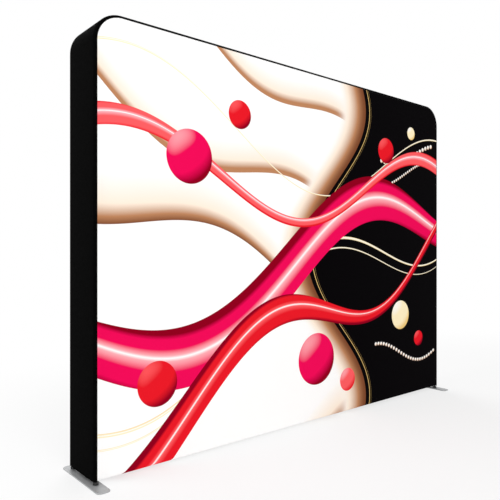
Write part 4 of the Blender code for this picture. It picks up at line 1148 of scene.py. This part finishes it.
# %% Make one stitch and lay it in rows
STITCH_PITCH = 0.0036
STITCH_LENGTH = 0.0027
STITCH_WIDTH = 0.0005
STITCH_HEIGHT = 0.0004
STITCH_BENDS = (0.22, 0.78)
STITCH_END_SHARE = 0.6
STITCH_DIVE_SHARE = 0.7
STITCH_SMOOTH_DEG = 60

thread_cloth = finishes["zip_black"]


def one_stitch(name):
    """A loop of thread along X, which rises in the middle and dives into the cloth at both ends."""
    low = (0, -STITCH_WIDTH / 2, 0)
    stitch = add_box(name, low, (STITCH_LENGTH, STITCH_WIDTH / 2, STITCH_HEIGHT))
    for share in STITCH_BENDS:
        slice_cloth(stitch, (share * STITCH_LENGTH, 0, 0), (1, 0, 0))
    select_parts(stitch, "FACE", lambda centre, normal: abs(normal.x) > SQUARELY)
    bpy.ops.transform.resize(value=(1, STITCH_END_SHARE, STITCH_END_SHARE))
    bpy.ops.transform.translate(value=(0, 0, -STITCH_DIVE_SHARE * STITCH_HEIGHT))
    finish_edit()
    return stitch


def repeat(piece, pitch, **settings):
    """Lays copies of a piece along X, a pitch apart, by a count or for the length of a curve."""
    apply_modifier(
        piece, "ARRAY", use_relative_offset=False, use_constant_offset=True,
        constant_offset_displace=(pitch, 0, 0), **settings,
    )


def hang_row(row, turn_deg, place):
    """Stands a level row of stitches up against the wall, facing the front or the back."""
    row.rotation_euler = (math.radians(90), 0, math.radians(turn_deg))
    row.location = place
    make_active(row)
    bpy.ops.object.transform_apply(location=True, rotation=True, scale=False)
    shade_smooth(row, STITCH_SMOOTH_DEG)
    dress(row, thread_cloth, "black_fabric")


print("a stitch every", 1000 * STITCH_PITCH, "mm")


# %% Sew the two round seams
def seam_path(inset):
    """A level curve along the round seam: up one side, over the top and down the other."""
    half, top = FLAT_X - inset, FLAT_TOP - inset
    deselect_all()
    bpy.ops.mesh.primitive_plane_add(size=1, location=(0, (top + FLAT_BOTTOM) / 2, 0))
    path = bpy.context.object
    path.scale = (2 * half, top - FLAT_BOTTOM, 1)
    bpy.ops.object.transform_apply(location=True, rotation=True, scale=True)
    select_parts(path, "VERT", lambda point: near(point.y, top))
    bpy.ops.mesh.bevel(offset=CORNER_RADIUS - RIM - inset, segments=CORNER_STEPS, affect="VERTICES")
    finish_edit()
    select_parts(path, "EDGE", lambda middle, run: near(middle.y, FLAT_BOTTOM))
    bpy.ops.mesh.delete(type="EDGE")
    finish_edit()
    bpy.ops.object.convert(target="CURVE")
    path.data.twist_mode = "Z_UP"
    return path


def sew_round(name, y, turn_deg):
    """A row of stitches along the whole round seam of the front or the back."""
    path = seam_path(SEAM_WIDTH / 2)
    row = one_stitch(name)
    repeat(row, STITCH_PITCH, fit_type="FIT_CURVE", curve=path)
    apply_modifier(row, "CURVE", object=path)
    bpy.data.objects.remove(path)
    hang_row(row, turn_deg, (0, y, 0))


sew_round("front_seam_thread", FRONT_Y, 0)
sew_round("back_seam_thread", BACK_Y, 180)

# %% [markdown]
# Three straight rows hold the hems along the zip, one below it and one at each side of the port above
# it. They need no curve, only a count of stitches.

# %% Sew the hems along the zip
HEM_INSET = 0.003


def sew_straight(name, low_x, high_x, level):
    row = one_stitch(name)
    repeat(row, STITCH_PITCH, count=int((high_x - low_x) / STITCH_PITCH))
    hang_row(row, 180, (high_x, BACK_Y, level))


sew_straight("zip_hem_thread_low", zip_low[0], zip_high[0], SLOT_LOW - HEM_INSET)
sew_straight("zip_hem_thread_left", zip_low[0], PORT_LEFT - 2 * HEM_INSET, SLOT_HIGH + HEM_INSET)
sew_straight("zip_hem_thread_right", PORT_RIGHT + 2 * HEM_INSET, zip_high[0], SLOT_HIGH + HEM_INSET)

# %% [markdown]
# ## Binding round the port
# The cut edge at the mains inlet is bound with a folded tape, as a buttonhole or a curtain eyelet is.
# A block with the port's shape is grown a little, the port itself is cut out of it, and the edges that
# are left are rounded over. The binding laps a little over the cut edge.

# %% Bind the port
BINDING_WIDTH = 0.005
BINDING_PROUD = 0.0007
BINDING_LAP = 0.0004
BINDING_ROUNDING = 0.0006
SHARP_DEG = 40


def round_over(piece, width, steps=2, angle_deg=SHARP_DEG):
    """Rounds every sharp edge of a piece."""
    apply_modifier(piece, "BEVEL", width=width, segments=steps, angle_limit=math.radians(angle_deg))
    shade_smooth(piece)


binding = add_port("port_binding", BINDING_WIDTH, BACK_Y - FABRIC - BINDING_PROUD, BACK_Y + BINDING_PROUD)
cut(binding, add_port("port_core", -BINDING_LAP, BACK_Y - RIM, BACK_Y + RIM))
round_over(binding, BINDING_ROUNDING)
map_cloth(binding, over_back)
dress(binding, lining_cloth, "black_fabric")

# %% [markdown]
# ## The zip
# A moulded-tooth zip has a row of teeth on each of its two tapes, and the teeth grip a cord along the
# tape's edge. Each tape is a long thin box with that cord as a rod. Its ends are tucked under the
# seams at the wall's two sides.

# %% Model the tapes
TAPE_THICKNESS = 0.0007
TAPE_GAP = 0.0004
TAPE_TUCK = 0.003
TAPE_ROUNDING = 0.0002
CORD_RADIUS, CORD_SIDES = 0.0008, 12

TAPE_FACE = zip_low[1] + TAPE_THICKNESS


def zip_tape(name, inner, outer):
    """One half of the tape, with the cord along its edge that the teeth are moulded on."""
    levels = sorted((ZIP_LEVEL + inner, ZIP_LEVEL + outer))
    end = FLAT_X + TAPE_TUCK
    tape = add_box(name, (-end, zip_low[1], levels[0]), (end, TAPE_FACE, levels[1]))
    cord_place = (0, TAPE_FACE, ZIP_LEVEL + inner + math.copysign(CORD_RADIUS, outer))
    weld(tape, add_rod("cord", cord_place, CORD_RADIUS, 2 * end, "X", CORD_SIDES))
    round_over(tape, TAPE_ROUNDING, steps=1)
    map_cloth(tape, over_back)
    dress(tape, lining_cloth, "zip_black")


half_tape = (zip_high[2] - zip_low[2]) / 2
zip_tape("zip_tape_upper", TAPE_GAP / 2, half_tape)
zip_tape("zip_tape_lower", -TAPE_GAP / 2, -half_tape)

# %% [markdown]
# The two rows of teeth stand half a pitch apart, so each tooth closes the gap between two others. One
# tooth of each row is modelled and rounded, and an Array repeats the pair for the length of the wall.
# With nearly a thousand pairs, each tooth keeps to a few dozen faces. Stops close both ends.

# %% Model the teeth
TOOTH_PITCH = 0.003
TOOTH_WIDTH = 0.00125
TOOTH_REACH = 0.0028
TOOTH_OVERLAP = 0.0007
TOOTH_SUNK = 0.0003
TOOTH_CHAMFER = 0.0003
TOOTH_SMOOTH_DEG = 25

slider_low, slider_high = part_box("zip_slider")
SLIDER_X = middle_of("zip_slider")[0]


def one_tooth(start, side):
    """A moulded tooth that reaches from its own tape just past the middle of the zip."""
    levels = sorted((ZIP_LEVEL - side * TOOTH_OVERLAP, ZIP_LEVEL + side * TOOTH_REACH))
    low = (start, zip_low[1] - TOOTH_SUNK, levels[0])
    tooth = add_box("zip_teeth", low, (start + TOOTH_WIDTH, zip_high[1], levels[1]))
    bevel_edges(tooth, everywhere, TOOTH_CHAMFER, 1)
    return tooth


first_tooth = zip_low[0] + TOOTH_PITCH
teeth = join_pieces(one_tooth(first_tooth, 1), one_tooth(first_tooth + TOOTH_PITCH / 2, -1))
tooth_count = int((SLIDER_X - first_tooth) / TOOTH_PITCH)
repeat(teeth, TOOTH_PITCH, count=tooth_count)
shade_smooth(teeth, TOOTH_SMOOTH_DEG)
dress(teeth, finishes["zip_black"], "zip_black", "zip_chain")
print("pairs of teeth:", tooth_count)

# %% Model the stops
STOP_LENGTH = 0.0024
STOP_GAP = 0.001
STOP_SPLIT = 0.0008
STOP_ROUNDING = 0.0005

open_end = slider_high[0] + STOP_GAP
stops = []
for start, low_level, high_level in (
    (zip_low[0], -TOOTH_REACH, TOOTH_REACH),
    (open_end, -TOOTH_REACH, -STOP_SPLIT),
    (open_end, STOP_SPLIT, TOOTH_REACH),
):
    low = (start, zip_low[1], ZIP_LEVEL + low_level)
    stops.append(add_box("zip_stops", low, (start + STOP_LENGTH, zip_high[1], ZIP_LEVEL + high_level)))
stops = join_pieces(*stops)
round_over(stops, STOP_ROUNDING, steps=3)
dress(stops, finishes["zip_black"], "zip_black")

# %% [markdown]
# The slider is a wedge with a channel over the teeth: its tail, towards the closed teeth, is narrower
# than its mouth. Two ears on it carry the pin, and the pull hangs on that pin by its barrel.

# %% Model the slider
PLATE_FACE = 0.0023
CHANNEL_HALF = 0.0034
CHANNEL_ROOF = 0.0006
TAIL_SHARE = 0.88
SLIDER_ROUNDING, SLIDER_STEPS = 0.0012, 4
SLIDER_RIM = 0.0002
EAR_WIDTH = 0.0012
EAR_GAP = 0.0018
EAR_HALF_HEIGHT = 0.002
EAR_SUNK = 0.0005
PIN_RADIUS, PIN_SIDES = 0.0009, 16

plate_y = zip_high[1] + PLATE_FACE
pin_y = middle_of("zip_pull")[1]
pin_place = (SLIDER_X, pin_y, ZIP_LEVEL)

slider = add_box("zip_slider_body", slider_low, (slider_high[0], plate_y, slider_high[2]))
select_parts(slider, "FACE", lambda centre, normal: normal.x < -SQUARELY)
bpy.ops.transform.resize(value=(1, 1, TAIL_SHARE))
finish_edit()
bevel_edges(slider, lambda middle, run: near(run.x, 0) and near(run.z, 0), SLIDER_ROUNDING, SLIDER_STEPS)
channel_low = (slider_low[0] - RIM, slider_low[1] - RIM, ZIP_LEVEL - CHANNEL_HALF)
channel_high = (slider_high[0] + RIM, zip_high[1] + CHANNEL_ROOF, ZIP_LEVEL + CHANNEL_HALF)
cut(slider, add_box("channel", channel_low, channel_high))
for side in (-1, 1):
    ends = sorted((SLIDER_X + side * EAR_GAP, SLIDER_X + side * (EAR_GAP + EAR_WIDTH)))
    ear_low = (ends[0], plate_y - EAR_SUNK, ZIP_LEVEL - EAR_HALF_HEIGHT)
    weld(slider, add_box("ear", ear_low, (ends[1], slider_high[1], ZIP_LEVEL + EAR_HALF_HEIGHT)))
weld(slider, add_rod("pin", pin_place, PIN_RADIUS, 2 * (EAR_GAP + EAR_WIDTH / 2), "X", PIN_SIDES))
round_over(slider, SLIDER_RIM)
dress(slider, finishes["zip_black"], "zip_black", "zip_slider", body="zip_slider")

# %% [markdown]
# The pull is a flat tab with a window in it. A neck joins it to the barrel, which has a bore that is a
# little wider than the pin, so that it can swing.

# %% Model the pull
PULL_HALF_THICK = 0.0008
TAB_BELOW_PIN = 0.008
TAB_ROUNDING, TAB_STEPS = 0.0022, 5
TAB_RIM = 0.0003
WINDOW_HALF_WIDTH = 0.0018
WINDOW_LOW, WINDOW_HIGH = 0.004, 0.013
WINDOW_ROUNDING, WINDOW_STEPS = 0.0012, 4
NECK_HALF_WIDTH = 0.0015
NECK_REACH = 0.009
BARREL_RADIUS, BARREL_LENGTH, BARREL_SIDES = 0.0023, 0.003, 24
BORE_PLAY = 0.0003

pull_low, pull_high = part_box("zip_pull")
pull_back, pull_face = pin_y - PULL_HALF_THICK, pin_y + PULL_HALF_THICK

tab_high = (pull_high[0], pull_face, ZIP_LEVEL - TAB_BELOW_PIN)
tab = add_box("zip_pull_tab", (pull_low[0], pull_back, pull_low[2]), tab_high)
bevel_edges(tab, lambda middle, run: abs(run.y) > 0, TAB_ROUNDING, TAB_STEPS)
window_low = (SLIDER_X - WINDOW_HALF_WIDTH, pin_y - RIM, pull_low[2] + WINDOW_LOW)
window_high = (SLIDER_X + WINDOW_HALF_WIDTH, pin_y + RIM, pull_low[2] + WINDOW_HIGH)
window = add_box("window", window_low, window_high)
bevel_edges(window, lambda middle, run: abs(run.y) > RIM, WINDOW_ROUNDING, WINDOW_STEPS)
cut(tab, window)
neck_low = (SLIDER_X - NECK_HALF_WIDTH, pull_back, ZIP_LEVEL - NECK_REACH)
weld(tab, add_box("neck", neck_low, (SLIDER_X + NECK_HALF_WIDTH, pull_face, ZIP_LEVEL)))
weld(tab, add_rod("barrel", pin_place, BARREL_RADIUS, BARREL_LENGTH, "X", BARREL_SIDES))
cut(tab, add_rod("bore", pin_place, PIN_RADIUS + BORE_PLAY, 2 * BARREL_LENGTH, "X", BARREL_SIDES))
round_over(tab, TAB_RIM)
dress(tab, finishes["zip_black"], "zip_black", "zip_pull", body="zip_pull")

# %% [markdown]
# ## The mains inlet and its switch
# The supply inside the wall shows one face: a flange with an appliance socket, three pins, a rocker
# and two screws. The flange is a rounded box, and the socket is cut from it with a box whose two
# upper corners are chamfered, because that is how such a plug is kept from going in upside down.

# %% Measure the inlet
inlet_low, inlet_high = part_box("power_inlet")
inlet_x, _, inlet_z = middle_of("power_inlet")
rocker_x = middle_of("rocker_switch")[0]
face_y = inlet_high[1]
flange_size = (inlet_high[0] - inlet_low[0], inlet_high[2] - inlet_low[2])


def add_block(name, centre, width, height, low_y, high_y, corner=0.0, steps=6, upper_only=False):
    """A block on the inlet's face, with rounded or chamfered corners as seen from behind the wall."""
    x, z = centre

    def at_corner(middle, run):
        return abs(run.y) > 0 and (middle.z > z or not upper_only)

    low = (x - width / 2, low_y, z - height / 2)
    block = add_box(name, low, (x + width / 2, high_y, z + height / 2))
    if corner:
        bevel_edges(block, at_corner, corner, steps)
    return block


print("the inlet's flange measures", [round(size, 4) for size in flange_size])

# %% Model the inlet
FLANGE = 0.002
FLANGE_ROUNDING = 0.003
BODY_MARGIN = (0.006, 0.003)
SOCKET = (0.024, 0.0165, 0.016)
SOCKET_SHIFT = 0.0165
SOCKET_CHAMFER = 0.0042
SOCKET_RIM = 0.0014
ROCKER = (0.0115, 0.018)
ROCKER_PLAY = (0.0008, 0.0016)
INLET_RIM = 0.0004

inlet_place = (inlet_x, inlet_z)
housing = add_block("inlet_housing", inlet_place, *flange_size, face_y - FLANGE, face_y, FLANGE_ROUNDING)
body_size = [size - 2 * margin for size, margin in zip(flange_size, BODY_MARGIN)]
weld(housing, add_block("inlet_body", inlet_place, *body_size, inlet_low[1], face_y - FLANGE / 2))
socket_place = (inlet_x - SOCKET_SHIFT, inlet_z)
collar_size = [size + 2 * SOCKET_RIM for size in SOCKET[:2]]
collar = add_block(
    "collar", socket_place, *collar_size, face_y - FLANGE / 2, face_y + SOCKET_RIM / 2,
    SOCKET_CHAMFER + SOCKET_RIM / 2, steps=1, upper_only=True,
)
weld(housing, collar)
hollow = add_block(
    "hollow", socket_place, *SOCKET[:2], face_y - SOCKET[2], face_y + SOCKET[2],
    SOCKET_CHAMFER, steps=1, upper_only=True,
)
cut(housing, hollow)
well_size = [size + play for size, play in zip(ROCKER, ROCKER_PLAY)]
cut(housing, add_block("well", (rocker_x, inlet_z), *well_size, face_y - ROCKER[1] / 2, face_y + ROCKER[1]))
round_over(housing, INLET_RIM)
merge_doubles(housing)
dress(housing, finishes["black_plastic"], "black_plastic", "power_inlet")

# %% Model the three pins
PIN_PITCH = 0.007
PIN = (0.002, 0.010, 0.004)
PIN_SUNK = 0.0005

floor_y = face_y - SOCKET[2]
for step, rise in ((-1, -1), (0, 1), (1, -1)):
    place = (socket_place[0] + step * PIN_PITCH, inlet_z + rise * PIN[2] / 2)
    pin = add_block(f"inlet_pin_{step + 2}", place, PIN[0], PIN[2], floor_y - PIN_SUNK, floor_y + PIN[1])
    round_over(pin, INLET_RIM)
    dress(pin, finishes["spring_steel"], "spring_steel")

# %% [markdown]
# A countersunk screw head is a short rod with its rim rounded and a cross cut in it. The second screw
# is a copy with a mesh of its own, moved to the flange's other end.

# %% Model the screws
SCREW_INSET = 0.0052
SCREW_HEAD = 0.0027
SCREW_DEPTH = 0.0012
SCREW_ROUNDING = 0.0005
CROSS_LENGTH, CROSS_WIDTH, CROSS_FLOOR = 0.0034, 0.0006, 0.0001


def copy_by(piece, name, move):
    """A copy with a mesh of its own, moved by a distance."""
    make_active(piece)
    bpy.ops.object.duplicate()
    copy = bpy.context.object
    copy.name = name
    copy.location = move
    bpy.ops.object.transform_apply(location=True, rotation=False, scale=False)
    return copy


screw_x = inlet_low[0] + SCREW_INSET
screw = add_rod("inlet_screw_1", (screw_x, face_y, inlet_z), SCREW_HEAD, SCREW_DEPTH, "Y")
bevel_edges(screw, lambda middle, run: near(middle.y, face_y + SCREW_DEPTH / 2), SCREW_ROUNDING, steps=3)
for width, height in ((CROSS_LENGTH, CROSS_WIDTH), (CROSS_WIDTH, CROSS_LENGTH)):
    groove_ends = (face_y + CROSS_FLOOR, face_y + SCREW_HEAD)
    cut(screw, add_block("groove", (screw_x, inlet_z), width, height, *groove_ends))
shade_smooth(screw)
other_screw = copy_by(screw, "inlet_screw_2", (flange_size[0] - 2 * SCREW_INSET, 0, 0))
for piece in (screw, other_screw):
    dress(piece, finishes["spring_steel"], "spring_steel")

# %% [markdown]
# The rocker is a block whose face is folded into a shallow V. It is cut across its middle, its outer
# corners are drawn forwards, and its back is narrowed, so that it can tilt in its well. The two marks
# are a bar and a ring, each laid on its own slope. Then all of it is tilted to the "off" side.

# %% Model the rocker
ROCKER_HALF_DEPTH = 0.003
ROCKER_SLOPE = 0.0016
ROCKER_BACK_SHARE = 0.5
ROCKER_TILT_DEG = 10
ROCKER_ROUNDING = 0.0005

slope_deg = math.degrees(math.atan2(ROCKER_SLOPE, ROCKER[1] / 2))
pivot = Vector((rocker_x, face_y - ROCKER_HALF_DEPTH, inlet_z))
fold = pivot + Vector((0, ROCKER_HALF_DEPTH, 0))


def off_fold(point):
    """True for the corners at the rocker's upper and lower ends."""
    return not near(point.z, inlet_z)


rocker = add_block("rocker_key", (rocker_x, inlet_z), *ROCKER, pivot.y - ROCKER_HALF_DEPTH, fold.y)
slice_cloth(rocker, pivot, (0, 0, 1))
select_parts(rocker, "VERT", lambda point: point.y > pivot.y and off_fold(point))
bpy.ops.transform.translate(value=(0, ROCKER_SLOPE, 0))
finish_edit()
select_parts(rocker, "VERT", lambda point: point.y < pivot.y and off_fold(point))
bpy.ops.transform.resize(value=(1, 1, ROCKER_BACK_SHARE))
finish_edit()
round_over(rocker, ROCKER_ROUNDING, steps=3)
print("each half of the rocker's face slopes by", round(slope_deg, 1), "degrees")

# %% Mark the rocker and tilt it
MARK_PLACE = 0.005
MARK_SIZE = 0.0032
MARK_WIDTH = 0.0005
MARK_SUNK, MARK_PROUD = 0.0002, 0.0001
RING_WIRE = 0.00027


def tilt(piece, turn_deg, pivot):
    """Turns all of a piece in edit mode about an axis along X through a point."""
    select_parts(piece, "VERT", everywhere)
    bpy.ops.transform.rotate(value=-math.radians(turn_deg), orient_axis="X", center_override=pivot)
    finish_edit()


bar_place = (rocker_x, inlet_z + MARK_PLACE)
bar = add_block("rocker_marks", bar_place, MARK_WIDTH, MARK_SIZE, fold.y - MARK_SUNK, fold.y + MARK_PROUD)
deselect_all()
bpy.ops.mesh.primitive_torus_add(
    location=(rocker_x, fold.y, inlet_z - MARK_PLACE), rotation=(math.radians(90), 0, 0),
    major_radius=MARK_SIZE / 2, minor_radius=RING_WIRE, major_segments=24, minor_segments=8,
)
ring = bpy.context.object
bpy.ops.object.transform_apply(location=True, rotation=True, scale=True)
tilt(bar, -slope_deg, fold)
tilt(ring, slope_deg, fold)
marks = join_pieces(bar, ring)
for piece in (rocker, marks):
    tilt(piece, ROCKER_TILT_DEG, pivot)
shade_smooth(marks)
dress(rocker, finishes["black_plastic"], "black_plastic", "rocker_switch", body="rocker_switch")
dress(marks, finishes["white_bar"], "black_plastic", body="rocker_switch")

# %% [markdown]
# ## Feet and hand bolts
# Each foot is a flat bar of steel, cut, rounded at its corners and powder coated. A box is bevelled
# twice: widely at its four corners, as seen from above, and finely at its rims. Each hole has a
# recess underneath for the riveted end of the captive bolt.

# %% Model the feet
FOOT_CORNER, FOOT_CORNER_STEPS = 0.022, 12
FOOT_RIM, FOOT_RIM_STEPS = 0.0011, 3
BOLT_BORE = 0.0054
RIVET_RECESS = (0.0089, 0.0024)
BORE_SIDES = 48

plate_low, plate_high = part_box("foot_plate_left")
foot = add_box("steel_foot_left", plate_low, plate_high)
bevel_edges(foot, lambda middle, run: abs(run.z) > 0, FOOT_CORNER, FOOT_CORNER_STEPS)
bevel_edges(foot, lambda middle, run: near(run.z, 0), FOOT_RIM, FOOT_RIM_STEPS)
for loop in ("front", "back"):
    place = (*bolt_places[f"hand_bolt_{loop}_left"], 0)
    cut(foot, add_rod("bore", place, BOLT_BORE, 4 * plate_high[2], sides=BORE_SIDES))
    cut(foot, add_rod("recess", place, RIVET_RECESS[0], 2 * RIVET_RECESS[1], sides=BORE_SIDES))
shade_smooth(foot)
right_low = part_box("foot_plate_right")[0]
other_foot = copy_by(foot, "steel_foot_right", right_low - plate_low)
dress(foot, finishes["silver_powder_coat"], "silver_powder_coat", "foot_plate_left")
dress(other_foot, finishes["silver_powder_coat"], "silver_powder_coat", "foot_plate_right")

# %% [markdown]
# A hand bolt is turned by its lobed knob, between the foot and the frame. A rod with many sides gets
# its six lobes by moving each side in or out by a wave, the rims are rounded over, and a neck joins
# it to the frame.

# %% Model a knob
LOBES = 6
LOBE_HEIGHT = 0.0018
KNOB_SIDES = 96
KNOB_LIFT = 0.0003
KNOB_NECK = 0.0075
NECK_OVERLAP = 0.001
GRIP_SHARE = 0.62
KNOB_ROUNDING, KNOB_SHARP_DEG = 0.0022, 60

bolt_low, bolt_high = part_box("hand_bolt_front_left")
knob_x, knob_y = bolt_places["hand_bolt_front_left"]
knob_bottom, knob_top = plate_high[2] + KNOB_LIFT, WALL_BOTTOM + FABRIC
grip_height = (knob_top - knob_bottom) * GRIP_SHARE
knob_radius = (bolt_high[0] - bolt_low[0]) / 2
grip_place = Vector((knob_x, knob_y, knob_bottom + grip_height / 2))
knob = add_rod("hand_knob_front_left", grip_place, knob_radius - LOBE_HEIGHT, grip_height, sides=KNOB_SIDES)
for vertex in knob.data.vertices:
    out = (vertex.co - grip_place) * Vector((1, 1, 0))
    turn = math.atan2(out.y, out.x)
    vertex.co += out.normalized() * LOBE_HEIGHT * math.cos(LOBES * turn)
round_over(knob, KNOB_ROUNDING, steps=4, angle_deg=KNOB_SHARP_DEG)
neck_height = knob_top - knob_bottom - grip_height + NECK_OVERLAP
neck_place = (knob_x, knob_y, knob_top - neck_height / 2)
weld(knob, add_rod("neck", neck_place, KNOB_NECK, neck_height, sides=BORE_SIDES))
shade_smooth(knob)
print("a knob is", round(2000 * knob_radius, 1), "mm wide")

# %% [markdown]
# Its steel stud is a rivet head, inset and extruded upwards through plate and knob into the frame.
# Knob and stud are modelled once and copied to the other three corners.

# %% Model the studs and copy the bolts
STUD_RADIUS = 0.005
RIVET_RADIUS = 0.0085
RIVET_THICKNESS = 0.0014
STUD_RIM = 0.0005

rivet_place = (knob_x, knob_y, bolt_low[2] + RIVET_THICKNESS / 2)
stud = add_rod("steel_stud_front_left", rivet_place, RIVET_RADIUS, RIVET_THICKNESS, sides=BORE_SIDES)
stud_height = bolt_high[2] - bolt_low[2] - RIVET_THICKNESS
select_parts(stud, "FACE", lambda centre, normal: normal.z > SQUARELY)
bpy.ops.mesh.inset(thickness=RIVET_RADIUS - STUD_RADIUS)
bpy.ops.mesh.extrude_region_move(TRANSFORM_OT_translate={"value": (0, 0, stud_height)})
finish_edit()
round_over(stud, STUD_RIM)

bolts = {bolt_names[0]: (knob, stud)}
for name in bolt_names[1:]:
    x, y = bolt_places[name]
    corner = name.removeprefix("hand_bolt_")
    move = (x - knob_x, y - knob_y, 0)
    bolts[name] = copy_by(knob, f"hand_knob_{corner}", move), copy_by(stud, f"steel_stud_{corner}", move)
for name, (grip, screwed_in) in bolts.items():
    dress(grip, finishes["black_plastic"], "black_plastic", name, body=name)
    dress(screwed_in, finishes["spring_steel"], "spring_steel", body=name)

# %% [markdown]
# ## The studio
# The photograph is a cut-out on white, so the studio is a pale floor and a white world. The world is
# pure white only to the camera and in reflections. What lights the object is softer: a dim white
# sky and three large lamps, at a level where a colour renders about as it is written. The floor shows
# its own shading only near the wall, so the wall keeps its shadow and the distance stays white.

# %% Build the world and the floor
SKY_LEVEL = 0.42
FLOOR_SIZE = 60
FLOOR_GREY = (0.9, 0.9, 0.9, 1)
FLOOR_SHADE_SHARE = 0.26
SHADE_NEAR, SHADE_FAR = 1.2, 3.2
SHADE_SQUEEZE = (0.55, 1, 1)
PURE_WHITE = (1, 1, 1, 1)


def show_white(tree):
    """A mask that is 1 for the camera, for mirror rays and for rays through glass."""
    path = add_node(tree, "ShaderNodeLightPath").outputs
    seen = maths(tree, "MAXIMUM", path["Is Camera Ray"], path["Is Glossy Ray"])
    return maths(tree, "MAXIMUM", seen, path["Is Transmission Ray"])


def build_world():
    world = bpy.data.worlds.new("white_studio")
    bpy.context.scene.world = world
    world.use_nodes = True
    tree = world.node_tree
    background = tree.nodes["Background"]
    background.inputs["Color"].default_value = PURE_WHITE
    strength = maths(tree, "MULTIPLY_ADD", show_white(tree), 1 - SKY_LEVEL, SKY_LEVEL)
    tree.links.new(strength, background.inputs["Strength"])


def build_floor():
    deselect_all()
    bpy.ops.mesh.primitive_plane_add(size=FLOOR_SIZE, location=(0, 0, 0))
    floor = bpy.context.object
    floor.name = "studio_floor"
    made, tree, shader = new_material("studio_floor", roughness=0.9, specular_ior_level=0.1)
    shader.inputs["Base Color"].default_value = FLOOR_GREY
    white = add_node(tree, "ShaderNodeEmission", {"Color": PURE_WHITE, "Strength": 1.0}).outputs[0]
    place = add_node(tree, "ShaderNodeTexCoord").outputs["Object"]
    squeezed = add_node(tree, "ShaderNodeMapping", {"Vector": place, "Scale": SHADE_SQUEEZE}).outputs[0]
    away = vector_maths(tree, "LENGTH", squeezed)[1]
    shade = maths(tree, "MULTIPLY", fade(tree, away, SHADE_FAR, SHADE_NEAR), FLOOR_SHADE_SHARE)
    share = maths(tree, "MULTIPLY", show_white(tree), maths(tree, "SUBTRACT", 1.0, shade))
    mix = add_node(tree, "ShaderNodeMixShader", {0: share, 1: shader.outputs[0], 2: white}).outputs[0]
    tree.links.new(mix, tree.nodes["Material Output"].inputs["Surface"])
    floor.data.materials.append(made)


build_world()
build_floor()
print("the floor and the sky are white")

# %% Hang the lamps
LAMP_SIZE = 4.0
LAMPS = {
    "front_lamp": ((-2.5, -6.0, 4.5), 260),
    "side_lamp": ((-6.5, 1.0, 4.0), 160),
    "back_lamp": ((2.0, 4.5, 6.5), 260),
}

wall_middle = Vector((0, (FRONT_Y + BACK_Y) / 2, WALL_TOP / 2))
for name, (place, power) in LAMPS.items():
    deselect_all()
    bpy.ops.object.light_add(type="AREA", location=place)
    lamp = bpy.context.object
    lamp.name = name
    lamp.data.size = LAMP_SIZE
    lamp.data.energy = power
    lamp.rotation_euler = (wall_middle - Vector(place)).to_track_quat("-Z", "Y").to_euler()
bpy.context.scene.view_settings.view_transform = "Standard"
print("the studio is lit by", ", ".join(LAMPS))
